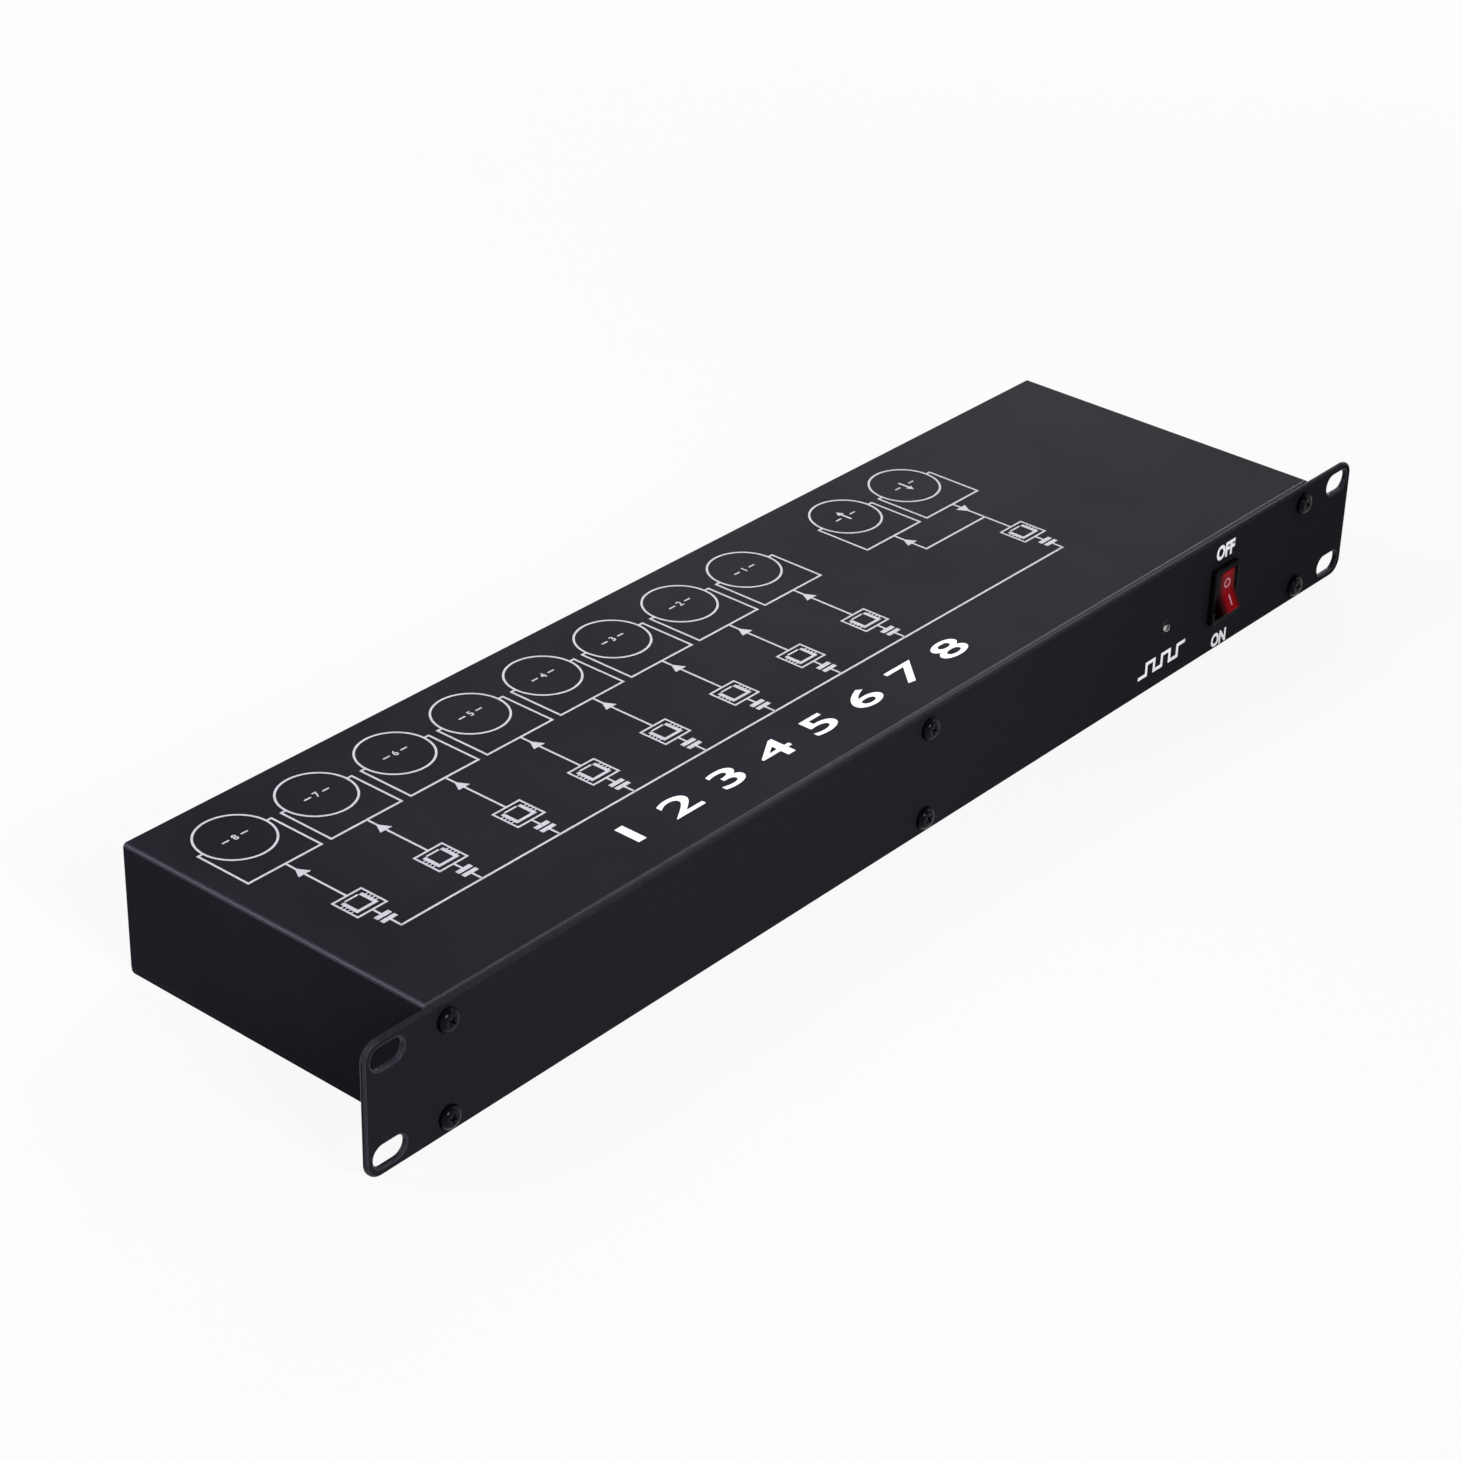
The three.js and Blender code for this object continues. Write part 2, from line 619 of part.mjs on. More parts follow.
// The tray: floor, low front flange and full rear wall with a stiffening flange at its top
function makeBaseTray() {
  const section = roundedOutline([
    [trayFront, FRONT_FLANGE_HEIGHT], [trayFront, 0, bendOuterRadius],
    [rear, 0, bendOuterRadius], [rear, rearWallTop, bendOuterRadius],
    [rear - TOP_FLANGE_DEPTH, rearWallTop], [rear - TOP_FLANGE_DEPTH, rearWallTop - SHEET],
    [rear - SHEET, rearWallTop - SHEET, BEND_INNER_RADIUS], [rear - SHEET, SHEET, BEND_INNER_RADIUS],
    [trayFront + SHEET, SHEET, BEND_INNER_RADIUS], [trayFront + SHEET, FRONT_FLANGE_HEIGHT],
  ]);
  const bent = barAlongX(section, [left, right]);
  const wallEnds = [[left - OVERRUN, -trayEnd], [trayEnd, right + OVERRUN]].map((spanX) => block(
    spanX, [front, rear + OVERRUN], [SHEET, caseHeight]));
  const topFlangeEnd = returnFlangeEdge - SHEET_GAP;
  const topFlangeEnds = [[-trayEnd - OVERRUN, -topFlangeEnd], [topFlangeEnd, trayEnd + OVERRUN]]
    .map((spanX) => block(spanX, [rear - TOP_FLANGE_DEPTH - OVERRUN, rear - SHEET],
      [rearWallTop - bendOuterRadius, caseHeight]));

  const rearSpan = [rear - SHEET - OVERRUN, rear + OVERRUN];
  const roundHoles = roundConnectorXs.flatMap((x) => [
    rodAlongY(CUTOUT_RADIUS, rearSpan, x, centreZ),
    ...flangeScrewPlaces.map((place) => rodAlongY(
      FLANGE_SCREW_HOLE_RADIUS, rearSpan, x + place.x, centreZ + place.z, HOLE_SIDES)),
  ]);
  const inletHole = block(
    around(inletX, INLET_BODY_WIDTH + 2 * INLET_BODY_GAP), rearSpan,
    around(centreZ, INLET_BODY_HEIGHT + 2 * INLET_BODY_GAP));
  const inletScrewHoles = inletScrewXs.map((x) => rodAlongY(
    FLANGE_SCREW_HOLE_RADIUS, rearSpan, inletX + x, centreZ, HOLE_SIDES));

  const lowerScrews = panelScrewPlaces.filter(({ upper }) => !upper);
  const screwHoleRadius = PANEL_SCREW_RADIUS + PANEL_SCREW_HOLE_GAP;
  const nutEnd = trayFront + SHEET + PANEL_NUT_LENGTH;
  const nuts = lowerScrews.map(({ x, z }) => rodAlongY(
    screwHoleRadius + PANEL_NUT_WALL, [trayFront + SHEET / 2, nutEnd], x, z, SCREW_SIDES));
  const screwHoles = lowerScrews.map(({ x, z }) => rodAlongY(
    screwHoleRadius, [front, nutEnd + OVERRUN], x, z, SCREW_SIDES));
  const sunkHoles = coverScrewPlaces.map(({ x, y }) => coneAlongZ(
    COVER_SCREW_HEAD_RADIUS + COVER_SCREW_HOLE_GAP, COVER_SCREW_RADIUS + COVER_SCREW_HOLE_GAP,
    [0, COVER_SCREW_HEAD_RADIUS - COVER_SCREW_RADIUS], x, y, SMALL_ROUND_SIDES));
  const straightHoles = coverScrewPlaces.map(({ x, y }) => rodAlongZ(
    COVER_SCREW_RADIUS + COVER_SCREW_HOLE_GAP, [-OVERRUN, SHEET + OVERRUN], x, y, SMALL_ROUND_SIDES));

  const posts = boardPostPlaces.flatMap(({ x, y }) => [
    rodAlongZ(POST_RADIUS, [SHEET / 2, boardBottom], x, y, HOLE_SIDES),
    rodAlongZ(POST_TIP_RADIUS, [boardBottom - SHEET, boardBottom + POST_TIP_LENGTH],
      x, y, HOLE_SIDES),
  ]);
  return cut(join([cut(bent, [...wallEnds, ...topFlangeEnds]), ...nuts, ...posts]), [
    ...roundHoles, inletHole, ...inletScrewHoles, ...screwHoles, ...sunkHoles, ...straightHoles,
  ]);
}

// A cross shaped recess of a screw head, sunk along Y from y0
function crossRecess(y0, width, reach, depth) {
  const span = [y0 - OVERRUN, y0 + depth];
  return block(around(0, width), span, around(0, 2 * reach)).add(
    block(around(0, 2 * reach), span, around(0, width)));
}

// A pan head screw that lies along Y, its head's flat seat at zero and its head to the front
function makePanelScrew() {
  const rim = PANEL_SCREW_HEAD_HEIGHT * SCREW_RIM_SHARE;
  const rise = PANEL_SCREW_HEAD_HEIGHT - rim;
  const profile = [[0, PANEL_SCREW_LENGTH], [PANEL_SCREW_RADIUS, PANEL_SCREW_LENGTH],
    [PANEL_SCREW_RADIUS, 0], [PANEL_SCREW_HEAD_RADIUS, 0]];
  for (let step = 0; step <= DOME_STEPS; step += 1) {
    const share = (1 - FLAT_ON_DOME_SHARE) * (step / DOME_STEPS);
    const angle = (share * Math.PI) / 2;
    profile.push([PANEL_SCREW_HEAD_RADIUS * Math.cos(angle), -rim - rise * Math.sin(angle)]);
  }
  const [, crown] = profile[profile.length - 1];
  profile.push([0, crown]);
  return turned(profile.reverse(), SCREW_SIDES).subtract(
    crossRecess(crown, RECESS_WIDTH, RECESS_REACH, RECESS_DEPTH));
}

// A countersunk screw that stands along Z, its flat head at zero and its point up
function makeCoverScrew() {
  const headHeight = COVER_SCREW_HEAD_RADIUS - COVER_SCREW_RADIUS;
  const head = coneAlongZ(COVER_SCREW_HEAD_RADIUS, COVER_SCREW_RADIUS,
    [0, headHeight], 0, 0, SMALL_ROUND_SIDES);
  const shank = rodAlongZ(COVER_SCREW_RADIUS, [0, COVER_SCREW_LENGTH], 0, 0, SMALL_ROUND_SIDES);
  const span = [-OVERRUN, COVER_RECESS_DEPTH];
  const recess = block(around(0, COVER_RECESS_WIDTH), around(0, 2 * COVER_RECESS_REACH), span).add(
    block(around(0, 2 * COVER_RECESS_REACH), around(0, COVER_RECESS_WIDTH), span));
  return head.add(shank).subtract(recess);
}

// Rear connectors are drawn about their own axis, which lies along Y. Zero is the rear wall's
// outer face, and the plug comes from the positive side.

function connectorFlange() {
  const plate = plateAlongY(
    rectangle(FLANGE_WIDTH, FLANGE_HEIGHT, FLANGE_CORNER_RADIUS), [0, FLANGE_THICKNESS]);
  return cut(plate, flangeScrewPlaces.map(({ x, z }) => rodAlongY(
    FLANGE_SCREW_HOLE_RADIUS, [-OVERRUN, FLANGE_THICKNESS + OVERRUN], x, z, HOLE_SIDES)));
}

const socketFront = FLANGE_THICKNESS + SOCKET_NOSE_LENGTH;
const stemMiddle = (SOCKET_BORE_RADIUS + barrelRadius) / 2;
const stemFoot = stemMiddle - LATCH_THICKNESS / 2;
const stemTop = stemMiddle + LATCH_THICKNESS / 2;
const latchHeadTop = stemFoot + LATCH_HEAD_HEIGHT;
const latchHeadRear = LATCH_TRAVEL + LATCH_GAP;

// The shell of a socket: flange, nose and barrel around one bore, with a slot for the latch
function makeSocketShell() {
  const nose = rodAlongY(NOSE_RADIUS, [FLANGE_THICKNESS / 2, socketFront]);
  const barrel = rodAlongY(barrelRadius, [-SOCKET_BARREL_LENGTH, FLANGE_THICKNESS / 2]);
  const bore = rodAlongY(
    SOCKET_BORE_RADIUS, [SOCKET_FLOOR - SOCKET_BARREL_LENGTH, socketFront + OVERRUN]);
  const spigotHole = rodAlongY(SOCKET_SPIGOT_HOLE_RADIUS,
    [-SOCKET_BARREL_LENGTH - OVERRUN, SOCKET_FLOOR - SOCKET_BARREL_LENGTH + OVERRUN]);
  const slotRear = latchHeadRear - LATCH_STEM_LENGTH - LATCH_TRAVEL - LATCH_GAP;
  const stemSlot = block(around(0, LATCH_WIDTH + 2 * LATCH_GAP), [slotRear, 0],
    [stemFoot - OVERRUN, NOSE_RADIUS]);
  const headPocket = block(around(0, LATCH_HEAD_WIDTH + 2 * LATCH_GAP),
    [-OVERRUN, socketFront + OVERRUN], [stemFoot - OVERRUN, latchHeadTop + LATCH_GAP]);
  return cut(join([connectorFlange(), nose, barrel]), [bore, spigotHole, stemSlot, headPocket]);
}

// The insert of a socket: a plug of insulation with three blind contact holes
function makeSocketInsert() {
  const floor = SOCKET_FLOOR - SOCKET_BARREL_LENGTH;
  const face = socketFront - INSERT_RECESS;
  const core = rodAlongY(INSERT_RADIUS, [floor + INSERT_GAP, face]);
  const spigot = rodAlongY(SOCKET_SPIGOT_HOLE_RADIUS - INSERT_GAP,
    [-SOCKET_BARREL_LENGTH - SPIGOT_OVERHANG, floor + SOCKET_FLOOR]);
  const holes = contactPlaces.map(({ x, z }) => rodAlongY(
    CONTACT_HOLE_RADIUS, [face - CONTACT_HOLE_DEPTH, face + OVERRUN], x, z, SMALL_ROUND_SIDES));
  return cut(core.add(spigot), holes);
}

// The latch: a push tab above the nose, a flat stem in the slot and a hook that looks down
function makeLatch() {
  const stemRear = latchHeadRear - LATCH_STEM_LENGTH;
  const stem = block(around(0, LATCH_WIDTH),
    [stemRear, latchHeadRear + LATCH_HEAD_LENGTH / 2], [stemFoot, stemTop]);
  const headSide = roundedOutline([
    [latchHeadRear, stemFoot], [latchHeadRear + LATCH_HEAD_LENGTH, stemFoot],
    [latchHeadRear + LATCH_HEAD_LENGTH, latchHeadTop, LATCH_HEAD_ROUNDING],
    [latchHeadRear, latchHeadTop],
  ]);
  const head = barAlongX(headSide, around(0, LATCH_HEAD_WIDTH));
  const hook = block(around(0, LATCH_WIDTH / 2),
    [-LATCH_HOOK_FROM_FLANGE - LATCH_HOOK_LENGTH, -LATCH_HOOK_FROM_FLANGE],
    [stemFoot - LATCH_HOOK_DROP, stemMiddle]);
  return join([stem, head, hook]);
}

// The input's shell: an open cup with three pins in its floor
function makeInputShell() {
  const noseFront = FLANGE_THICKNESS + INPUT_NOSE_LENGTH;
  const nose = rodAlongY(NOSE_RADIUS, [FLANGE_THICKNESS / 2, noseFront]);
  const barrel = rodAlongY(barrelRadius, [-INPUT_BARREL_LENGTH, FLANGE_THICKNESS / 2]);
  const bore = rodAlongY(
    INPUT_BORE_RADIUS, [INPUT_FLOOR - INPUT_BARREL_LENGTH, noseFront + OVERRUN]);
  return cut(join([connectorFlange(), nose, barrel]), [bore, ...inputPinHoles()]);
}

function inputPinHoles() {
  const span = [-INPUT_BARREL_LENGTH - OVERRUN, 0];
  return contactPlaces.map(({ x, z }) => rodAlongY(
    INPUT_PIN_RADIUS + INPUT_PIN_GAP, span, x, z, SMALL_ROUND_SIDES));
}

// The disc of insulation that lies on the cup's floor around the pins
function makeInputInsert() {
  const seat = INPUT_FLOOR - INPUT_BARREL_LENGTH + INSERT_GAP;
  const disc = rodAlongY(INPUT_BORE_RADIUS - INSERT_GAP, [seat, seat + INPUT_INSERT_THICKNESS]);
  return cut(disc, inputPinHoles());
}

const inputPinRear = -INPUT_BARREL_LENGTH - INPUT_PIN_TAIL;

// A contact pin with a tapered tip
function makeInputPin() {
  const tip = FLANGE_THICKNESS - INPUT_PIN_RECESS;
  const profile = [
    [0, inputPinRear], [INPUT_PIN_RADIUS, inputPinRear],
    [INPUT_PIN_RADIUS, tip - INPUT_PIN_TIP_LENGTH], [INPUT_PIN_RADIUS / 2, tip], [0, tip],
  ];
  return turned(profile, SMALL_ROUND_SIDES);
}

// The inlet's body holds the plug's recess above the fuse drawer's slot
const recessMiddleZ = INLET_BODY_HEIGHT / 2 - INLET_WALL - PLUG_RECESS_HEIGHT / 2;
const slotHeight = DRAWER_HEIGHT + 2 * DRAWER_GAP;
const drawerMiddleZ = INLET_WALL + slotHeight / 2 - INLET_BODY_HEIGHT / 2;
const recessFloor = INLET_FLANGE_THICKNESS - PLUG_RECESS_DEPTH;
const bladePlaces = {
  line: { x: -BLADE_SPACING / 2, z: recessMiddleZ - BLADE_STEP / 2 },
  neutral: { x: BLADE_SPACING / 2, z: recessMiddleZ - BLADE_STEP / 2 },
  earth: { x: 0, z: recessMiddleZ + BLADE_STEP / 2 },
};
const bladeRear = -INLET_BODY_DEPTH - BLADE_TAB_LENGTH;

function makeInletHousing() {
  const flange = plateAlongY(
    rectangle(INLET_FLANGE_WIDTH, INLET_FLANGE_HEIGHT, INLET_FLANGE_CORNER_RADIUS),
    [0, INLET_FLANGE_THICKNESS]);
  const body = block(around(0, INLET_BODY_WIDTH),
    [-INLET_BODY_DEPTH, INLET_FLANGE_THICKNESS / 2], around(0, INLET_BODY_HEIGHT));
  const [x0, x1] = around(0, PLUG_RECESS_WIDTH);
  const [z0, z1] = around(recessMiddleZ, PLUG_RECESS_HEIGHT);
  const recessOutline = roundedOutline([
    [x0, z0], [x1, z0], [x1, z1 - PLUG_RECESS_CHAMFER], [x1 - PLUG_RECESS_CHAMFER, z1],
    [x0 + PLUG_RECESS_CHAMFER, z1], [x0, z1 - PLUG_RECESS_CHAMFER],
  ]);
  const recess = plateAlongY(recessOutline, [recessFloor, INLET_FLANGE_THICKNESS + OVERRUN]);
  const slotDepth = DRAWER_LENGTH + DRAWER_GAP;
  const drawerSlot = block(around(0, DRAWER_WIDTH + 2 * DRAWER_GAP),
    [INLET_FLANGE_THICKNESS - slotDepth, INLET_FLANGE_THICKNESS + OVERRUN],
    around(drawerMiddleZ, slotHeight));
  const bladeHoles = Object.values(bladePlaces).map(({ x, z }) => block(
    around(x, BLADE_THICKNESS + 2 * BLADE_GAP), [-INLET_BODY_DEPTH - OVERRUN, recessFloor + OVERRUN],
    around(z, BLADE_WIDTH + 2 * BLADE_GAP)));
  const screwHoles = inletScrewXs.map((x) => rodAlongY(FLANGE_SCREW_HOLE_RADIUS,
    [-OVERRUN, INLET_FLANGE_THICKNESS + OVERRUN], x, 0, HOLE_SIDES));
  return cut(flange.add(body), [recess, drawerSlot, ...bladeHoles, ...screwHoles]);
}

// A flat contact blade with a tab behind the housing
function makeBlade() {
  const tip = INLET_FLANGE_THICKNESS - BLADE_TIP_RECESS;
  return block(around(0, BLADE_THICKNESS), [bladeRear, tip], around(0, BLADE_WIDTH));
}

// The drawer is drawn about the middle of its slot, with zero at the housing's face
function makeFuseDrawer() {
  const tray = block(around(0, DRAWER_WIDTH),
    [-DRAWER_LENGTH, DRAWER_FACE_THICKNESS / 2], around(0, DRAWER_HEIGHT));
  const pocketReach = FUSE_LENGTH / 2 + FUSE_SEAT_GAP;
  const pocketHalfDepth = FUSE_CAP_RADIUS + FUSE_SEAT_GAP;
  const pocket = block([-pocketReach, pocketReach],
    [-FUSE_FROM_FACE - pocketHalfDepth, pocketHalfDepth - FUSE_FROM_FACE],
    [DRAWER_WALL - DRAWER_HEIGHT / 2, DRAWER_HEIGHT / 2 + OVERRUN]);
  const face = plateAlongY(
    rectangle(DRAWER_FACE_WIDTH, DRAWER_FACE_HEIGHT, DRAWER_WALL), [0, DRAWER_FACE_THICKNESS]);
  const grip = rodAlongX(DRAWER_GRIP_DEPTH, around(0, DRAWER_GRIP_WIDTH),
    DRAWER_FACE_THICKNESS, DRAWER_FACE_HEIGHT / 2, HOLE_SIDES);
  return cut(tray.subtract(pocket).add(face), [grip]);
}

// A glass fuse with a metal cap at each end, along X
function makeFuse() {
  const glass = rodAlongX(FUSE_RADIUS, around(0, FUSE_LENGTH - FUSE_CAP_LENGTH), 0, 0,
    SMALL_ROUND_SIDES);
  const reach = FUSE_LENGTH / 2;
  const caps = [[-reach, FUSE_CAP_LENGTH - reach], [reach - FUSE_CAP_LENGTH, reach]].map(
    (span) => rodAlongX(FUSE_CAP_RADIUS, span, 0, 0, SMALL_ROUND_SIDES));
  return join([glass, ...caps]);
}

// The switch is drawn about the middle of its bezel, with zero at the panel's front face.
// Its rocker turns on two short trunnions in the body's side walls.
function makeSwitchBody() {
  const bezel = plateWithRoundFront(
    rectangle(BEZEL_WIDTH, BEZEL_HEIGHT, BEZEL_CORNER_RADIUS), [-BEZEL_THICKNESS, 0],
    BEZEL_EDGE_ROUNDING);
  const body = block(around(0, SWITCH_BODY_WIDTH),
    [-BEZEL_THICKNESS / 2, SWITCH_BODY_DEPTH], around(0, SWITCH_BODY_HEIGHT));
  const well = block(around(0, WELL_WIDTH),
    [-BEZEL_THICKNESS - OVERRUN, WELL_DEPTH], around(0, WELL_HEIGHT));
  const bearings = rodAlongX(TRUNNION_RADIUS + TRUNNION_GAP,
    around(0, SWITCH_BODY_WIDTH + OVERRUN), ROCKER_PIVOT_DEPTH, 0, SMALL_ROUND_SIDES);
  const tabs = around(0, SWITCH_TAB_SPACING).map((z) => block(around(0, SWITCH_TAB_WIDTH),
    [SWITCH_BODY_DEPTH - SWITCH_TAB_THICKNESS, SWITCH_BODY_DEPTH + SWITCH_TAB_LENGTH],
    around(z, SWITCH_TAB_THICKNESS)));
  return cut(join([bezel, body, ...tabs]), [well, bearings]);
}

// The rocker, level in its pivot: two flat faces that dip to a crease over the trunnions
function makeRocker() {
  const reach = WELL_HEIGHT / 2 - ROCKER_END_GAP;
  const cosine = Math.cos(ROCKER_HALF_TRAVEL);
  const sine = Math.sin(ROCKER_HALF_TRAVEL);
  const endZ = reach * cosine - ROCKER_FACE_DISTANCE * sine;
  const endY = -(reach * sine + ROCKER_FACE_DISTANCE * cosine);
  const waistZ = endZ - ROCKER_WAIST_NARROWING;
  const keelZ = ROCKER_KEEL_WIDTH / 2;
  const side = roundedOutline([
    [-ROCKER_FACE_DISTANCE / cosine, 0], [endY, endZ], [0, waistZ],
    [ROCKER_KEEL_DEPTH, keelZ], [ROCKER_KEEL_DEPTH, -keelZ], [0, -waistZ], [endY, -endZ],
  ]);
  const rockerWidth = WELL_WIDTH - 2 * ROCKER_SIDE_GAP;
  const paddle = barAlongX(side, around(0, rockerWidth));
  const trunnions = rodAlongX(TRUNNION_RADIUS,
    around(0, rockerWidth + 2 * TRUNNION_LENGTH), 0, 0, SMALL_ROUND_SIDES);
  return paddle.add(trunnions);
}

// The lamp: a domed lens with a rim behind the case front and two legs
const ledRimFront = PANEL_THICKNESS + SHEET + SHEET_GAP;
const ledLegRear = ledRimFront + LED_RIM_THICKNESS + LED_LEG_LENGTH;

function makeLed() {
  const profile = [[0, -LED_PROUD]];
  for (let step = 1; step <= DOME_STEPS; step += 1) {
    const angle = (step / DOME_STEPS) * (Math.PI / 2);
    profile.push([LED_RADIUS * Math.sin(angle), LED_RADIUS - LED_PROUD - LED_RADIUS * Math.cos(angle)]);
  }
  const rimRear = ledRimFront + LED_RIM_THICKNESS;
  profile.push([LED_RADIUS, ledRimFront], [LED_RIM_RADIUS, ledRimFront],
    [LED_RIM_RADIUS, rimRear], [0, rimRear]);
  const legs = around(0, LED_LEG_SPACING).map((x) => block(around(x, LED_LEG_WIDTH),
    [rimRear - LED_RIM_THICKNESS / 2, ledLegRear], around(0, LED_LEG_WIDTH)));
  return join([turned(profile, SMALL_ROUND_SIDES), ...legs]);
}

// A soldered post that rises from the board to just behind a contact
function contactPost(x, z, contactRearY) {
  const y = contactRearY - CONTACT_POST_GAP;
  return block(around(x, CONTACT_POST_THICKNESS), [y - CONTACT_POST_THICKNESS, y],
    [boardTop - BOARD_THICKNESS / 2, z + CONTACT_POST_THICKNESS / 2]);
}

// The tall parts and the transformer stand in one row
const partRowY = boardFront + SOLDERED_PART_FROM_FRONT;

// The board stands on the tray's posts and carries every part that is soldered to it
function makeMainBoard() {
  const plate = block([-boardEnd, boardEnd], [boardFront, boardRear], [boardBottom, boardTop]);
  const holes = boardPostPlaces.map(({ x, y }) => rodAlongZ(POST_TIP_RADIUS + POST_TIP_GAP,
    [boardBottom - OVERRUN, boardTop + OVERRUN], x, y, HOLE_SIDES));
  const notch = block(around(inletX, INLET_BODY_WIDTH + 2 * BOARD_NOTCH_GAP),
    [rear - INLET_BODY_DEPTH - BOARD_NOTCH_GAP, boardRear + OVERRUN],
    [boardBottom - OVERRUN, boardTop + OVERRUN]);
  const sunk = boardTop - BOARD_THICKNESS / 2;
  const socketRear = rear - SOCKET_BARREL_LENGTH - SPIGOT_OVERHANG;
  const inputRear = rear + inputPinRear;
  const posts = roundConnectorXs.flatMap((x) => contactPlaces.map((contact) => contactPost(
    x + contact.x, centreZ + contact.z, x === inputX ? inputRear : socketRear)));
  const chips = roundConnectorXs.map((x) => block(around(x, CHIP_WIDTH),
    around(boardRear - CHIP_FROM_EDGE, CHIP_DEPTH), [sunk, boardTop + CHIP_HEIGHT]));
  const capacitor = rodAlongZ(CAPACITOR_RADIUS, [sunk, boardTop + CAPACITOR_HEIGHT],
    capacitorX, partRowY, SCREW_SIDES);
  const sink = block(around(heatSinkX, HEAT_SINK_WIDTH),
    around(partRowY, HEAT_SINK_DEPTH), [sunk, boardTop + HEAT_SINK_HEIGHT]);
  const groove = block(
    around(heatSinkX, HEAT_SINK_WIDTH - 2 * HEAT_SINK_FIN),
    [partRowY - HEAT_SINK_DEPTH / 2 + HEAT_SINK_FIN, partRowY + HEAT_SINK_DEPTH],
    [boardTop, boardTop + HEAT_SINK_HEIGHT + OVERRUN]);
  const terminal = block(around(inletX, TERMINAL_WIDTH), around(partRowY, TERMINAL_DEPTH),
    [sunk, boardTop + TERMINAL_HEIGHT]);
  const board = cut(plate, [...holes, notch]);
  return join([board, ...posts, ...chips, capacitor, sink.subtract(groove), terminal]);
}

// The transformer: a block of core plates with its coil through the middle
function makeTransformer() {
  const coreSpanZ = [boardTop, boardTop + CORE_HEIGHT];
  const core = block(
    around(transformerX, CORE_WIDTH), around(partRowY, CORE_DEPTH), coreSpanZ);
  const coil = block(around(transformerX, COIL_WIDTH), around(partRowY, COIL_DEPTH),
    around(boardTop + CORE_HEIGHT / 2, COIL_HEIGHT));
  return core.add(coil);
}

// A lead that leaves one point and meets another, straight along Y at both ends
function makeLead(start, startWay, end, endWay, rise) {
  const [x0, y0, z0] = start;
  const [x1, y1, z1] = end;
  const middle = new THREE.Vector3((x0 + x1) / 2, (y0 + y1) / 2, (z0 + z1) / 2 + rise);
  const path = new THREE.CatmullRomCurve3([
    new THREE.Vector3(x0, y0, z0),
    new THREE.Vector3(x0, y0 + startWay * LEAD_STRAIGHT, z0),
    middle,
    new THREE.Vector3(x1, y1 + endWay * LEAD_STRAIGHT, z1),
    new THREE.Vector3(x1, y1, z1),
  ]);
  const ring = [...Array(LEAD_SIDES).keys()].map((side) => {
    const angle = (side / LEAD_SIDES) * 2 * Math.PI;
    return new THREE.Vector2(LEAD_RADIUS * Math.cos(angle), LEAD_RADIUS * Math.sin(angle));
  });
  return solid(new THREE.ExtrudeGeometry(new THREE.Shape(ring), {
    steps: LEAD_STEPS, bevelEnabled: false, extrudePath: path,
  }));
}

// The model

const splitter = new THREE.Group();

function add(name, body, material, [x, y, z] = [0, 0, 0], group = splitter) {
  const mesh = named(name, geometryOf(body), material);
  mesh.position.set(x, y, z);
  group.add(mesh);
  return mesh;
}

function addCase() {
  add('front_panel', makeFrontPanel(), blackSteel);
  add('top_cover', makeTopCover(), blackSteel);
  add('base_tray', makeBaseTray(), blackSteel);
}

function addScrews() {
  const panelScrew = makePanelScrew();
  panelScrewPlaces.forEach(({ x, z }, i) => {
    add(`panel_screw_${i + 1}`, panelScrew, blackScrew, [x, panelFront, z]);
  });
  const coverScrew = makeCoverScrew();
  coverScrewPlaces.forEach(({ x, y }, i) => {
    add(`cover_screw_${i + 1}`, coverScrew, blackScrew, [x, y, COVER_SCREW_SUNK]);
  });
}

function addSockets() {
  const shell = makeSocketShell();
  const insert = makeSocketInsert();
  const latch = makeLatch();
  sockets.forEach(({ name, x }) => {
    const socket = new THREE.Group();
    socket.position.set(x, rear, centreZ);
    add(`${name}_shell`, shell, blackShell, [0, 0, 0], socket);
    add(`${name}_insert`, insert, blackInsert, [0, 0, 0], socket);
    add(`${name}_latch`, latch, nickel, [0, 0, 0], socket);
    splitter.add(socket);
  });
}

function addInput() {
  const input = new THREE.Group();
  input.position.set(inputX, rear, centreZ);
  add('input_shell', makeInputShell(), blackShell, [0, 0, 0], input);
  add('input_insert', makeInputInsert(), blackInsert, [0, 0, 0], input);
  const pin = makeInputPin();
  contactPlaces.forEach(({ x, z }, i) => {
    add(`input_pin_${i + 1}`, pin, nickel, [x, 0, z], input);
  });
  splitter.add(input);
}

function addInlet() {
  const inlet = new THREE.Group();
  inlet.position.set(inletX, rear, centreZ);
  add('inlet_housing', makeInletHousing(), blackPlastic, [0, 0, 0], inlet);
  const blade = makeBlade();
  Object.entries(bladePlaces).forEach(([name, { x, z }]) => {
    add(`inlet_${name}_blade`, blade, nickel, [x, 0, z], inlet);
  });
  const drawer = new THREE.Group();
  drawer.position.set(0, INLET_FLANGE_THICKNESS, drawerMiddleZ);
  add('fuse_drawer', makeFuseDrawer(), blackPlastic, [0, 0, 0], drawer);
  const fuseZ = DRAWER_WALL - DRAWER_HEIGHT / 2 + FUSE_CAP_RADIUS + FUSE_SEAT_GAP;
  add('fuse', makeFuse(), fuseGlass, [0, -FUSE_FROM_FACE, fuseZ], drawer);
  inlet.add(drawer);
  splitter.add(inlet);
}

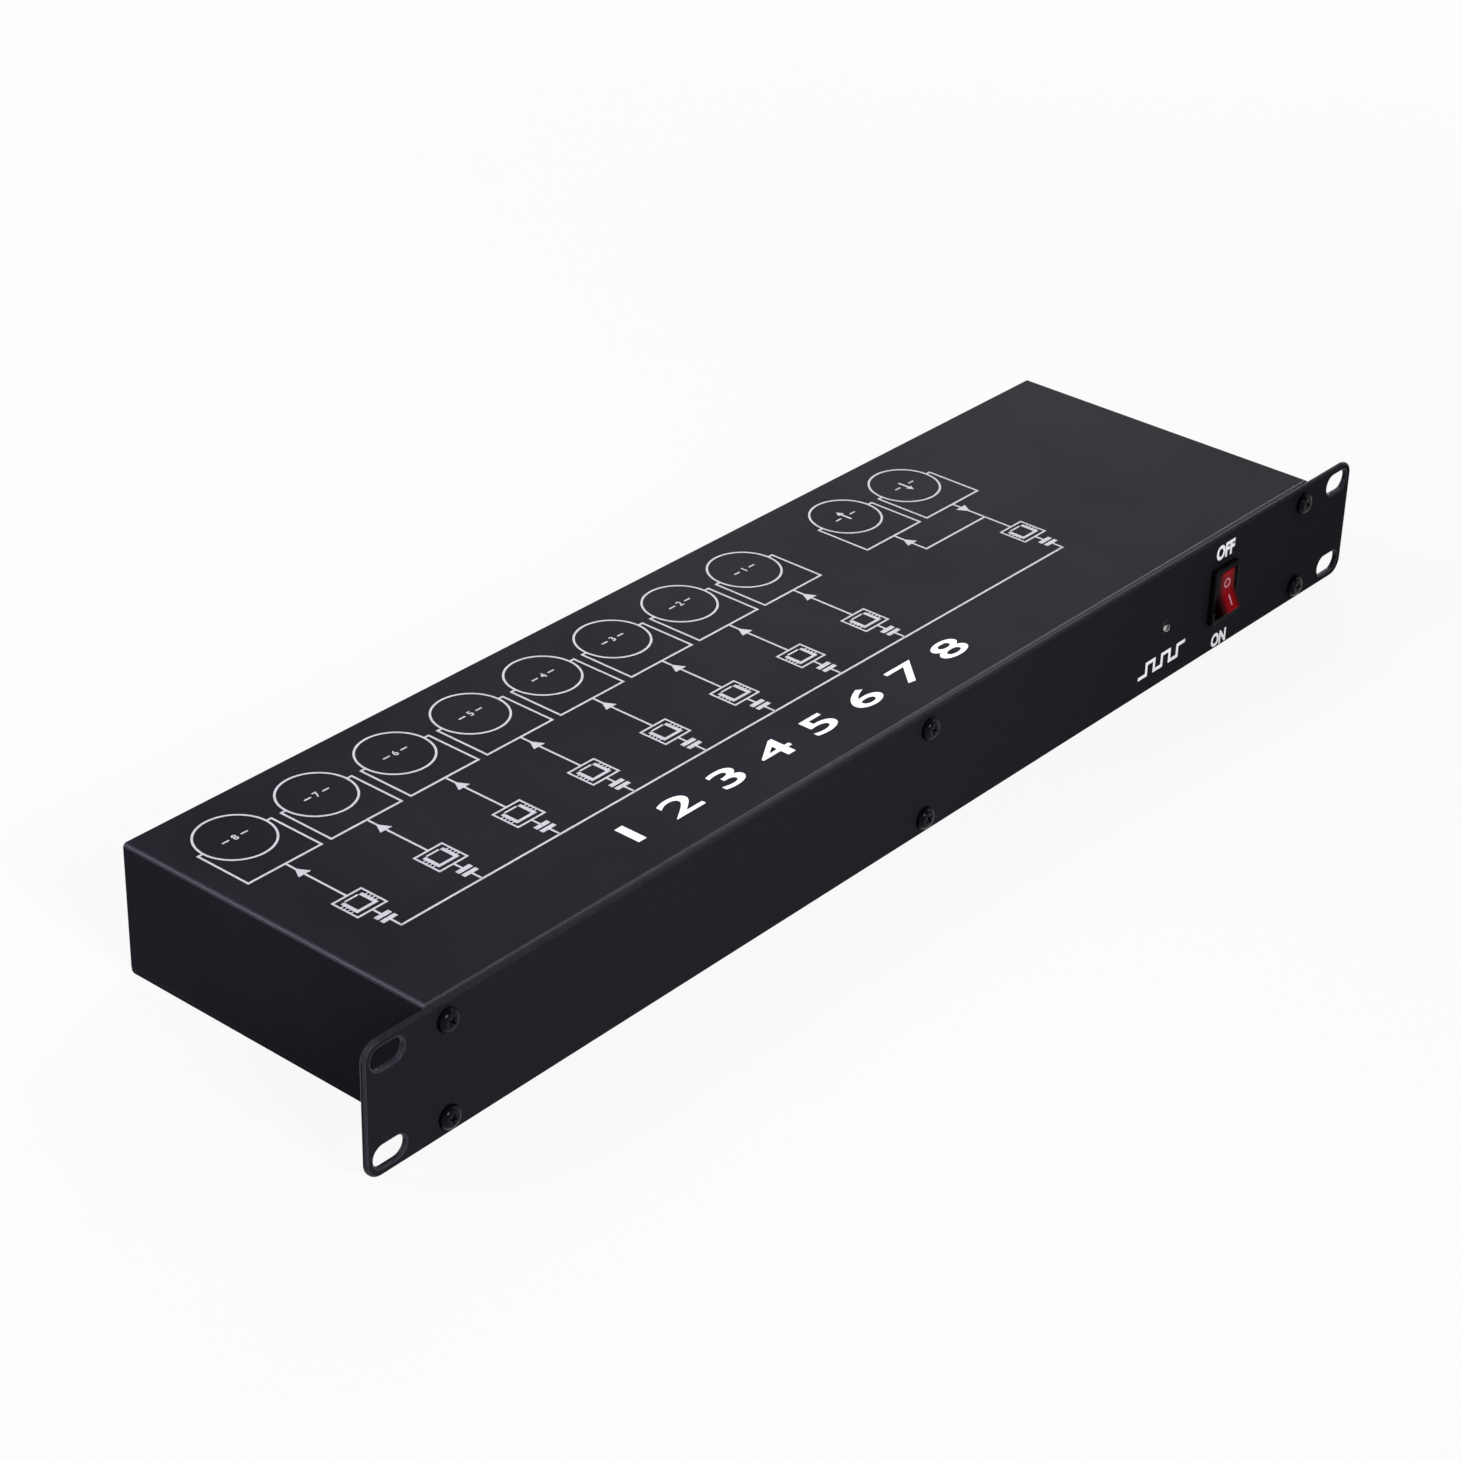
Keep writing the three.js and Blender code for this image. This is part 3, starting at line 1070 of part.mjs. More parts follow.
// At rest the switch is off: the rocker's upper half is pressed in
function addSwitch() {
  const place = new THREE.Group();
  place.position.set(switchX, panelFront, centreZ);
  add('switch_body', makeSwitchBody(), blackPlastic, [0, 0, 0], place);
  const rocker = add('switch_rocker', makeRocker(), redPlastic, [0, ROCKER_PIVOT_DEPTH, 0], place);
  rocker.rotation.x = -ROCKER_HALF_TRAVEL;
  splitter.add(place);
  add('signal_led', makeLed(), clearLens, [ledX, panelFront, LED_HEIGHT_ABOVE_BASE]);
}

function addElectronics() {
  add('main_board', makeMainBoard(), greenBoard);
  add('transformer', makeTransformer(), ironCore);

  const bladeY = rear + bladeRear - LEAD_END_GAP;
  const tabY = panelFront + SWITCH_BODY_DEPTH + SWITCH_TAB_LENGTH + LEAD_END_GAP;
  const terminalRear = partRowY + TERMINAL_DEPTH / 2 + LEAD_END_GAP;
  const terminalFront = partRowY - TERMINAL_DEPTH / 2 - LEAD_END_GAP;
  const terminalZ = boardTop + TERMINAL_HEIGHT / 2;
  const lineEnd = [inletX + bladePlaces.line.x, bladeY, centreZ + bladePlaces.line.z];
  const neutralEnd = [inletX + bladePlaces.neutral.x, bladeY, centreZ + bladePlaces.neutral.z];
  const [lowerTab, upperTab] = around(centreZ, SWITCH_TAB_SPACING);

  const lineLead = makeLead(lineEnd, -1, [switchX, tabY, upperTab], 1, LEAD_STRAIGHT);
  const neutralLead = makeLead(
    neutralEnd, -1, [inletX + TERMINAL_WIDTH / 4, terminalRear, terminalZ], 1, 0);
  const switchedLead = makeLead([switchX, tabY, lowerTab], 1,
    [inletX - TERMINAL_WIDTH / 4, terminalFront, terminalZ], -1, 0);
  const ledLead = makeLead(
    [ledX, panelFront + ledLegRear + LEAD_END_GAP, LED_HEIGHT_ABOVE_BASE], 1,
    [ledX, boardFront - LEAD_END_GAP, boardTop - BOARD_THICKNESS / 2], -1, 0);
  add('line_lead', lineLead, brownLead);
  add('neutral_lead', neutralLead, blueLead);
  add('switched_lead', switchedLead, brownLead);
  add('led_lead', ledLead, redLead);
}

addCase();
addScrews();
addSockets();
addInput();
addInlet();
addSwitch();
addElectronics();

export default splitter;
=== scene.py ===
# %% [markdown]
# A rack splitter for stage lighting data, dressed for a studio picture. The real unit is a
# flat box of folded steel behind a rack panel, powder coated black and screen printed in
# white. The frame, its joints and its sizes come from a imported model. This lesson keeps that
# model where it is, covers its plain solids with finer pieces, and paints everything.
# Sizes below are in millimetres, and MM turns them into Blender's metres.

# %% Load the frame
import math
import bpy
from mathutils import Euler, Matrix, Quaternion, Vector


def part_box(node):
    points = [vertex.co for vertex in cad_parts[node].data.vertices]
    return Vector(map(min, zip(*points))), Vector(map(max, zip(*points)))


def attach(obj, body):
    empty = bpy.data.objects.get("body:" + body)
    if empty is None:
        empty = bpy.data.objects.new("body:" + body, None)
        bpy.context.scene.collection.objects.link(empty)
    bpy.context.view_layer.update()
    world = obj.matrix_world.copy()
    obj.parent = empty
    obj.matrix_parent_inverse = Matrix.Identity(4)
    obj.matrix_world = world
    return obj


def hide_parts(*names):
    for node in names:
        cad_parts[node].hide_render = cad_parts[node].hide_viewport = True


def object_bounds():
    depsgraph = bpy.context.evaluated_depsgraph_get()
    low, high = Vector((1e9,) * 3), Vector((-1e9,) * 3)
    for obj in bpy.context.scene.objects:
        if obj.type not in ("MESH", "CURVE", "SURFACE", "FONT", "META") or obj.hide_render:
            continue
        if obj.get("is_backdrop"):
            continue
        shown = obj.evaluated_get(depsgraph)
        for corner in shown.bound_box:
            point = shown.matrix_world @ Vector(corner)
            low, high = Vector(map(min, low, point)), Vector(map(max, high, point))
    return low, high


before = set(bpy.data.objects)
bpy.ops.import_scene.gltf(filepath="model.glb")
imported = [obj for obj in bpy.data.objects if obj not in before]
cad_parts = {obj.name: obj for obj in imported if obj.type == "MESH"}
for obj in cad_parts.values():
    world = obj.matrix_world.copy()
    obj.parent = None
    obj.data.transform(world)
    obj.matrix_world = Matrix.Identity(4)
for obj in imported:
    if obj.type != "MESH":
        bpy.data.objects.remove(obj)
cad_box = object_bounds()
MM = 0.001
X, Y, Z = range(3)


def span(node, axis):
    """The lowest and highest millimetre of a node of the frame along one axis."""
    low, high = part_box(node)
    return low[axis] / MM, high[axis] / MM


def spans(node):
    return [span(node, axis) for axis in (X, Y, Z)]


def middle(ends):
    return sum(ends) / 2


def length(ends):
    return ends[1] - ends[0]


def around(centre, width):
    return centre - width / 2, centre + width / 2


def point(x, y, z):
    """A place given in millimetres, in metres."""
    return Vector((x, y, z)) * MM


print(len(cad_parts), "nodes; the panel is", round(length(span("front_panel", X)), 1), "wide")

# %% [markdown]
# The picture was taken from the left, in front and above, with a long lens, and the camera
# was tilted a little to one side. So the camera gets a place, a point that it looks at, and
# a roll about its own line of sight. Blender's cameras look along their own -Z.

# %% Camera
CAMERA_PLACE = (-772.6, -621.6, 590.0)
CAMERA_AIM = (-21.6, -1.4, 22.0)
CAMERA_ROLL = math.radians(1.72)
LENS = 88.64
SENSOR = 36.0


def add_object(operator, **settings):
    """Runs an operator that adds an object, with nothing selected, and returns what it added."""
    bpy.ops.object.select_all(action="DESELECT")
    operator(**settings)
    return bpy.context.object


camera = add_object(bpy.ops.object.camera_add, location=point(*CAMERA_PLACE))
camera.name = "studio_camera"
camera.data.lens = LENS
camera.data.sensor_width = SENSOR
sight = point(*CAMERA_AIM) - point(*CAMERA_PLACE)
roll = Quaternion((0, 0, 1), CAMERA_ROLL)
camera.rotation_euler = (sight.to_track_quat("-Z", "Y") @ roll).to_euler()
bpy.context.scene.camera = camera
print("the camera stands", round(sight.length, 2), "m away with a lens of", LENS, "mm")

# %% [markdown]
# Materials are node trees. One small function adds a node: it takes the kind, what goes into
# each socket (a number, a colour or another node's output) and the node's other settings.
# Colours are written as the hex values that a picture editor shows, and one function turns
# them into the linear values that the renderer works with.

# %% A node and a colour


def add_node(material, kind, inputs, **settings):
    """Adds a shader node, sets it up, and fills or links its sockets."""
    node = material.node_tree.nodes.new("ShaderNode" + kind)
    for name, value in settings.items():
        setattr(node, name, value)
    for key, value in inputs.items():
        if isinstance(value, bpy.types.NodeSocket):
            material.node_tree.links.new(value, node.inputs[key])
        else:
            node.inputs[key].default_value = value
    return node


def linear(code):
    """An sRGB colour such as 1d1d20 as linear red, green, blue and alpha."""
    channels = [int(code[i:i + 2], 16) / 255 for i in (0, 2, 4)]
    curve = [c / 12.92 if c <= 0.04045 else ((c + 0.055) / 1.055) ** 2.4 for c in channels]
    return (*curve, 1.0)


print("black at 1d1d20 is", [round(c, 4) for c in linear("1d1d20")])

# %% [markdown]
# Nearly every finish on this unit is one shader with a grain: paint that levelled, a mould
# that was eroded, metal that was tumbled. Noise on object coordinates stays where it is when
# the camera moves. It drifts the colour between two shades, makes the gloss uneven, and
# raises a small bump. Noise mostly stays between 0.3 and 0.7, so that range is stretched.
# Two finishes drift for another reason, and hand over a function that adds nodes for it.

# %% A finish with a grain
STRETCH = {"From Min": 0.3, "From Max": 0.7}


def start_material(name):
    material = bpy.data.materials.new(name)
    material.use_nodes = True
    material.node_tree.nodes.clear()
    return material


def make_finish(name, shades, grain, height, roughness, level=0.5, tint="ffffff", more=(), drift=None):
    """A finish whose grain is given in millimetres from one speck to the next."""
    material = start_material(name)
    place = add_node(material, "TexCoord", {}).outputs["Object"]
    noise = add_node(material, "TexNoise", {
        "Vector": place, "Scale": 1 / (grain * MM), "Detail": 2.0})
    grey = noise.outputs[0]
    if drift:
        share = drift(material, place)
    else:
        share = add_node(material, "MapRange", {"Value": grey, **STRETCH}).outputs["Result"]
    colour = add_node(material, "Mix", {
        0: share, 6: linear(shades[0]), 7: linear(shades[1])}, data_type="RGBA")
    gloss = add_node(material, "MapRange", {
        "Value": grey, **STRETCH, "To Min": roughness[0], "To Max": roughness[1]})
    bump = add_node(material, "Bump", {"Height": grey, "Distance": height * MM})
    shader = add_node(material, "BsdfPrincipled", {
        "Base Color": colour.outputs[2], "Roughness": gloss.outputs["Result"],
        "Specular IOR Level": level, "Specular Tint": linear(tint),
        "Normal": bump.outputs["Normal"], **dict(more)})
    add_node(material, "OutputMaterial", {"Surface": shader.outputs["BSDF"]})
    return material


print("a finish takes two shades, a grain and a range of roughness")

# %% [markdown]
# Powder coat is dry paint powder that is baked on. It levels into a satin skin with a fine
# orange peel, about half a millimetre from bump to bump, and it reflects little. The bump is
# drawn slightly coarser than it is, so that it shows as grain. Slow, wide noise makes some
# places a shade lighter, as handling and dust do.

# %% Powder coat
POWDER_GRAIN = 0.7
POWDER_PATCH = 60.0
POWDER_ROUGHNESS = (0.38, 0.5)


def drift_in_patches(material, place):
    """Wide patches of the lighter shade."""
    patch = add_node(material, "TexNoise", {
        "Vector": place, "Scale": 1 / (POWDER_PATCH * MM), "Detail": 4.0})
    dusty = add_node(material, "MapRange", {
        "Value": patch.outputs[0], "From Min": 0.35, "From Max": 0.65})
    return dusty.outputs["Result"]


powder_coat = make_finish("powder_coated_steel", ("19181e", "1f1e25"), POWDER_GRAIN, 0.006,
                          POWDER_ROUGHNESS, 0.004, "eeecff", drift=drift_in_patches)
print(powder_coat.name, "has", len(powder_coat.node_tree.nodes), "nodes")

# %% [markdown]
# Folds are rubbed each time the unit slides into a rack or a case, and the coat there is
# polished. Its lighter shade is partly that rubbing and partly a painted highlight, which
# draws the thin light lines along the edges. The panel's rim stays in the open, is rubbed less
# and gets less painted highlight, and its ears a little more. These are three more finishes
# for narrow faces, with the same fine grain. The panel itself is painted a little darker and
# cooler than the cover, as painted shade on its upright front.

# %% Rubbed powder coat with painted highlights
VIOLET = "e2deff"
rubbed_and_highlight_coat = make_finish("rubbed_powder_coat", ("2b2a30", "3a3940"), POWDER_GRAIN, 0.004,
                          (0.28, 0.36), 0.12, VIOLET)
rim_highlight_coat = make_finish("rim_powder_coat", ("1b1a20", "232229"), POWDER_GRAIN, 0.004,
                       (0.32, 0.42), 0.02, VIOLET)
ear_highlight_coat = make_finish("ear_powder_coat", ("222127", "2e2d34"), POWDER_GRAIN, 0.004,
                       (0.3, 0.4), 0.07, VIOLET)
# The panel's coat is painted a little darker and cooler than the cover's, as painted shade on its
# upright front.
panel_shaded_coat = make_finish("panel_powder_coat", ("17181c", "1b1c20"), POWDER_GRAIN, 0.006,
                         POWDER_ROUGHNESS, 0.004, "eeeeff")
print(rubbed_and_highlight_coat.name, rim_highlight_coat.name, ear_highlight_coat.name, panel_shaded_coat.name)

# %% [markdown]
# The lines and numbers are screen printing ink: a matt, slightly violet white that is thinner
# in places, where the black shows through a little. Its specks are a third of a millimetre.
# Broad letters take up more ink than thin lines do and look whiter, so they get an ink of
# their own.

# %% Screen printing ink
INK_GRAIN = 0.35
INK_ROUGHNESS = (0.58, 0.68)
ink = make_finish("screen_printing_ink", ("a09da6", "c6c3cc"), INK_GRAIN, 0.003, INK_ROUGHNESS, 0.2)
bold_ink = make_finish("opaque_screen_printing_ink", ("e4e3e8", "f6f5f8"), INK_GRAIN, 0.003,
                       INK_ROUGHNESS, 0.2)
print(ink.name, bold_ink.name)

# %% [markdown]
# The screws are blackened steel under a thin oil film: almost black, with hard highlights.
# The connector shells are zinc castings with a satin black lacquer. The black plastics are
# glass filled nylon, whose mould was spark eroded to an even grain, and polished ABS.

# %% Black parts
black_steel = make_finish("blackened_steel", ("060608", "0a0a0e"), 0.5, 0.002, (0.08, 0.14),
                          0.07, VIOLET)
lacquer = make_finish("black_lacquered_zinc", ("161618", "1e1e21"), 0.5, 0.005, (0.26, 0.38), 0.3)
nylon = make_finish("black_moulded_nylon", ("121214", "1a1a1d"), 0.2, 0.005, (0.44, 0.58), 0.25)
polished_abs = make_finish("black_polished_abs", ("09090b", "0e0e10"), 0.2, 0.001, (0.14, 0.22),
                           0.012, VIOLET)
print(black_steel.name, lacquer.name, nylon.name, polished_abs.name)

# %% [markdown]
# Bare metal keeps the default index of refraction. Its look comes from its colour and from
# how rough it is. Nickel plate is slightly warm and fairly bright, and tumbling before the
# plating leaves it a little uneven. Contacts are brass under a thin plating, so yellower.

# %% Plated metal
BARE = {"Metallic": 1.0}
nickel = make_finish("nickel_plated_zinc", ("a9a8a3", "c9c7c0"), 0.25, 0.002, (0.24, 0.36), more=BARE)
plated_brass = make_finish("plated_brass", ("b3a684", "d6cba8"), 0.25, 0.001, (0.2, 0.32), more=BARE)
print(nickel.name, plated_brass.name)

# %% [markdown]
# The rocker is dark red polycarbonate, moulded clear enough for light to wander inside it: a
# small subsurface share and a smooth skin give that. Its colour carries a painted highlight
# and painted shade: bright red along a line near the middle of the switch, and darker with
# the distance from that line, until it is nearly black towards the rocker's sides.

# %% Red polycarbonate with a painted highlight
PAINTED_HIGHLIGHT_SHIFT = 0.7
PAINTED_HIGHLIGHT_REACH = (1.2, 5.0)
painted_highlight_x = middle(span("switch_body", X)) + PAINTED_HIGHLIGHT_SHIFT


def paint_highlight_sideways(material, place):
    """Painted shade that grows with the distance from the line of the painted highlight."""
    across = add_node(material, "SeparateXYZ", {"Vector": place})
    offset = add_node(material, "Math", {
        0: across.outputs["X"], 1: painted_highlight_x * MM}, operation="SUBTRACT")
    distance = add_node(material, "Math", {0: offset.outputs[0]}, operation="ABSOLUTE")
    depth = add_node(material, "MapRange", {
        "Value": distance.outputs[0], "From Min": PAINTED_HIGHLIGHT_REACH[0] * MM,
        "From Max": PAINTED_HIGHLIGHT_REACH[1] * MM}, interpolation_type="SMOOTHSTEP")
    return depth.outputs["Result"]


# The first shade is the painted highlight, and the second is the painted shade at the sides.
red_polycarbonate = make_finish(
    "red_polycarbonate", ("80000c", "1a0003"), 4.0, 0.006, (0.08, 0.12), 0.02, drift=paint_highlight_sideways,
    more={"Subsurface Weight": 0.15, "Subsurface Radius": (1.0, 0.06, 0.05),
          "Subsurface Scale": 1.2 * MM})
print(red_polycarbonate.name, "is brightest at x =", round(painted_highlight_x, 1))

# %% [markdown]
# The lamp is a clear epoxy body that shows its dark inside, and the fuse is a glass tube.

# %% Clear parts
clear_epoxy = make_finish("clear_epoxy", ("f0f2f3", "f8fafa"), 2.0, 0.002, (0.03, 0.06), 0.2,
                          more={"IOR": 1.5, "Transmission Weight": 0.97})
fuse_glass = make_finish("fuse_tube_glass", ("e8efec", "f2f6f4"), 4.0, 0.001, (0.01, 0.03),
                         more={"IOR": 1.52, "Transmission Weight": 1.0})
print(clear_epoxy.name, fuse_glass.name)

# %% [markdown]
# Pieces are modelled as by hand: a primitive, a few edit-mode operators, and modifiers that
# are applied. Each helper leaves the object at the origin with its place in its mesh, because
# the frame's own nodes are kept that way, and patterns on object coordinates stay fixed by it.

# %% Selecting and settling


def activate(piece):
    """Selects only this piece and makes it the active one."""
    bpy.ops.object.select_all(action="DESELECT")
    piece.select_set(True)
    bpy.context.view_layer.objects.active = piece
    return piece


def settle(piece):
    """Moves the object's place, turn and scale into its mesh."""
    activate(piece)
    bpy.ops.object.transform_apply(location=True, rotation=True, scale=True)
    return piece


def shift(piece, x=0.0, y=0.0, z=0.0):
    piece.location = point(x, y, z)
    return settle(piece)


def turn(piece, axis, degrees, pivot=(0.0, 0.0, 0.0)):
    """Turns a piece about a line through a point, along one axis."""
    angles = [0.0, 0.0, 0.0]
    angles[axis] = math.radians(degrees)
    piece.rotation_euler = Euler(angles)
    piece.location = point(*pivot) - Euler(angles).to_matrix() @ point(*pivot)
    return settle(piece)


def copy_of(piece):
    """A copy with its own mesh."""
    activate(piece)
    bpy.ops.object.duplicate(linked=False)
    return bpy.context.object


def join(pieces):
    activate(pieces[0])
    for piece in pieces:
        piece.select_set(True)
    bpy.ops.object.join()
    return bpy.context.object


def edit_all(piece, *steps):
    """Runs edit-mode operators, each given with its settings, on a whole mesh."""
    activate(piece)
    bpy.ops.object.mode_set(mode="EDIT")
    bpy.ops.mesh.select_all(action="SELECT")
    for operator, settings in steps:
        operator(**settings)
    bpy.ops.object.mode_set(mode="OBJECT")
    return piece


def face_outwards(piece):
    return edit_all(piece, (bpy.ops.mesh.normals_make_consistent, {"inside": False}))


print("selecting and settling are ready")

# %% [markdown]
# Two primitives start almost everything here: a block between two values on each axis, and a
# rod between two values along one axis. Rods get 64 sides. Small ones, called pegs here, get
# 32, which is smooth at the size that they have in the picture, and a list of centres makes
# a list of pegs.

# %% Blocks and rods
ROUND = 64
SMALL_ROUND = 32
ALONG = {X: (0.0, math.pi / 2, 0.0), Y: (-math.pi / 2, 0.0, 0.0), Z: (0.0, 0.0, 0.0)}


def add_block(x, y, z):
    block = add_object(bpy.ops.mesh.primitive_cube_add, size=MM,
                       location=point(middle(x), middle(y), middle(z)))
    block.scale = (length(x), length(y), length(z))
    return settle(block)


def add_rod(axis, ends, radius, centre=(0.0, 0.0, 0.0), end_radius=None, sides=ROUND):
    """A rod, or a cone where a second radius is given for its high end."""
    place = list(centre)
    place[axis] = middle(ends)
    return settle(add_object(
        bpy.ops.mesh.primitive_cone_add, vertices=sides, radius1=radius * MM,
        radius2=(radius if end_radius is None else end_radius) * MM, depth=length(ends) * MM,
        location=point(*place), rotation=ALONG[axis]))


def add_pegs(axis, ends, radius, centres, end_radius=None):
    """Small rods or cones along one axis, one at each centre."""
    return [add_rod(axis, ends, radius, centre, end_radius, SMALL_ROUND) for centre in centres]


def add_peg(axis, ends, radius, centre=(0.0, 0.0, 0.0), end_radius=None):
    return add_pegs(axis, ends, radius, [centre], end_radius)[0]


def add_pair(near_x, far_x, y, z):
    """Two blocks, one on each side of x = 0, between two distances from it."""
    return [add_block(sorted((side * near_x, side * far_x)), y, z) for side in (-1, 1)]

print("a block has 6 faces, a rod", ROUND + 2)

# %% [markdown]
# Edges are picked by a test on their two ends, in millimetres. A picked edge can be rounded,
# or pulled out into a new face, which is how a sheet metal flange grows from a floor.

# %% Working on edges
CLOSE = 0.01


def select_edges(piece, wanted):
    """Opens edit mode with the edges selected whose two ends pass the test."""
    activate(piece)
    bpy.ops.object.mode_set(mode="EDIT")
    bpy.ops.mesh.select_mode(type="EDGE")
    bpy.ops.mesh.select_all(action="DESELECT")
    bpy.ops.object.mode_set(mode="OBJECT")
    corners = [vertex.co / MM for vertex in piece.data.vertices]
    for edge in piece.data.edges:
        edge.select = wanted(*(corners[i] for i in edge.vertices))
    bpy.ops.object.mode_set(mode="EDIT")


def round_edges(piece, wanted, radius, segments):
    select_edges(piece, wanted)
    bpy.ops.mesh.bevel(offset=radius * MM, offset_type="OFFSET", segments=segments,
                       affect="EDGES", clamp_overlap=False)
    bpy.ops.object.mode_set(mode="OBJECT")
    return piece


def pull_edges(piece, wanted, x=0.0, y=0.0, z=0.0):
    select_edges(piece, wanted)
    bpy.ops.mesh.extrude_region_move(TRANSFORM_OT_translate={"value": point(x, y, z)})
    bpy.ops.object.mode_set(mode="OBJECT")
    return piece


def near(value, target):
    return abs(value - target) < CLOSE


def along(axis):
    """A test for edges that lie along one axis."""
    others = [a for a in (X, Y, Z) if a != axis]
    return lambda a, b: all(near(a[i], b[i]) for i in others)


def at(axis, *values):
    """A test for edges whose both ends have one of the values on an axis."""
    return lambda a, b: any(near(a[axis], v) and near(b[axis], v) for v in values)


def both(*tests):
    return lambda a, b: all(test(a, b) for test in tests)


print("an edge along X at the top passes both(along(X), at(Z, top))")

# %% [markdown]
# Holes, pockets and joined bodies are boolean modifiers, and broken edges are a bevel
# modifier. Every real edge has a small radius, from deburring, paint or a mould, and it is
# this radius that catches the light in a photograph of something black. A wide face with
# holes in it would fold over itself when its edges move, so it is cut into triangles first.
# Weighted normals keep the large faces flat beside those small radii. A cutting tool goes
# a hair or a whole millimetre past a face, so that no two faces lie in one place.

# %% Modifiers that are applied
FINE_EDGE = 0.1
METAL_EDGE = 0.12
CAST_EDGE = 0.15
MOULDED_EDGE = 0.2
OVERRUN = 1.0
HAIR = 0.01
MERGE_DISTANCE = 0.002
SLIVER = 0.001
SHARP_ANGLE = 40
SMOOTH_ANGLE = 35


def through(ends):
    """Two ends moved apart, so that a tool between them cuts right through."""
    return ends[0] - OVERRUN, ends[1] + OVERRUN


def modify(piece, kind, **settings):
    """Adds a modifier, sets it up and applies it."""
    activate(piece)
    bpy.ops.object.modifier_add(type=kind)
    modifier = piece.modifiers[-1]
    for name, value in settings.items():
        setattr(modifier, name, value)
    bpy.ops.object.modifier_apply(modifier=modifier.name)
    return piece


def combine(piece, tools, operation):
    for tool in tools:
        modify(piece, "BOOLEAN", operation=operation, solver="EXACT", object=tool)
        bpy.data.objects.remove(tool)
    return piece


def cut(piece, *tools):
    return combine(piece, tools, "DIFFERENCE")


def weld(piece, *others):
    return combine(piece, others, "UNION")


def heal(piece):
    """Merges points that a boolean left in one place, and cuts wide faces into triangles."""
    edit_all(piece, (bpy.ops.mesh.remove_doubles, {"threshold": MERGE_DISTANCE * MM}),
             (bpy.ops.mesh.dissolve_degenerate, {"threshold": SLIVER * MM}))
    return modify(piece, "TRIANGULATE", min_vertices=5)


def soften(piece, width, segments=2):
    """Breaks every sharp edge and shades the piece smooth."""
    heal(piece)
    modify(piece, "BEVEL", width=width * MM, segments=segments, limit_method="ANGLE",
           angle_limit=math.radians(SHARP_ANGLE), use_clamp_overlap=False, loop_slide=False)
    bpy.ops.object.shade_smooth_by_angle(angle=math.radians(SMOOTH_ANGLE))
    return modify(piece, "WEIGHTED_NORMAL", keep_sharp=True)


def rounded_plate(x, y, z, radius, segments=10):
    """A plate that stands in the X-Z plane and has four round corners."""
    return round_edges(add_block(x, y, z), along(Y), radius, segments)


print("holes, welds and soft edges are ready")

# %% [markdown]
# A finished piece gets its name and material, says which solids of the frame it stands for,
# and which moving body it rides on.

# %% Dressing a piece
FLAT = 0.995


def dress(piece, name, material, nodes=(), body="chassis"):
    settle(piece)
    piece.name = name
    piece.data.name = name
    piece.data.materials.clear()
    piece.data.materials.append(material)
    if nodes:
        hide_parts(*nodes)
    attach(piece, body)
    print(name, "has", len(piece.data.polygons), "faces")
    return piece


def rub_and_highlight(piece, coat, beyond=0.0):
    """Gives the rounded faces further out than a width a lighter coat: partly rubbed, partly a painted
    highlight.
    """
    piece.data.materials.append(coat)
    for face in piece.data.polygons:
        rounded = max(abs(part) for part in face.normal) < FLAT
        if rounded and abs(face.center.x) >= beyond * MM:
            face.material_index = len(piece.data.materials) - 1
    return piece


print("dressing is ready")

# %% [markdown]
# The front panel is a 2 mm plate with rounded corners, four slots for a rack's bolts, six
# screw holes, and openings for the switch and the lamp. It is one rounded plate less its
# openings. Its edges are well rounded by deburring and paint, and they show as a thin light
# line above the panel in the picture, helped by a painted highlight in their coat. The ears
# beyond the case rub against a rack's rails and bolts, so their edges and slots get a lighter
# finish, partly rubbed and partly a painted highlight.

# %% Front panel
PANEL_CORNER = 5.5
PANEL_SOFT_EDGE = 0.75
SLOT_LENGTH = 12.2
SLOT_HEIGHT = 7.1
SLOT_INSET = 8.75
SLOT_SPACING = 31.75
SCREW_INSET = 6.0
SCREW_HOLE = 2.25
SWITCH_HOLE_GAP = 0.2
SWITCH_BODY_WIDTH = 12.8
SWITCH_BODY_HEIGHT = 19.0
LAMP_HOLE = 1.7
LAMP_Z = 21.4

panel_x, panel_y, panel_z = spans("front_panel")
case_x, case_y, case_z = spans("top_cover")
centre_z = middle(panel_z)
switch_x = middle(span("switch_body", X))
lamp_spot = (middle(span("signal_led", X)), 0, LAMP_Z)
screw_spots = [(x, 0, z) for x in (case_x[0] + SCREW_INSET, 0.0, case_x[1] - SCREW_INSET)
               for z in (panel_z[1] - SCREW_INSET, panel_z[0] + SCREW_INSET)]
upper_screws = screw_spots[::2]
lower_screws = screw_spots[1::2]


def front_openings(y):
    """Tools that cut the screw holes, the switch opening and the lamp hole."""
    switch = add_block(around(switch_x, SWITCH_BODY_WIDTH + 2 * SWITCH_HOLE_GAP), y,
                       around(centre_z, SWITCH_BODY_HEIGHT + 2 * SWITCH_HOLE_GAP))
    return [*add_pegs(Y, y, SCREW_HOLE, screw_spots), switch, add_peg(Y, y, LAMP_HOLE, lamp_spot)]


panel = rounded_plate(panel_x, panel_y, panel_z, PANEL_CORNER, 16)
slots = [rounded_plate(around(side * (panel_x[1] - SLOT_INSET), SLOT_LENGTH), through(panel_y),
                       around(z, SLOT_HEIGHT), SLOT_HEIGHT / 2 - HAIR, 12)
         for side in (-1, 1) for z in around(centre_z, SLOT_SPACING)]
cut(panel, *slots, *front_openings(through(panel_y)))
soften(panel, PANEL_SOFT_EDGE, 4)
rub_and_highlight(dress(panel, "rack_panel", panel_shaded_coat, ["front_panel"]), rim_highlight_coat)
rub_and_highlight(panel, ear_highlight_coat, case_x[1])

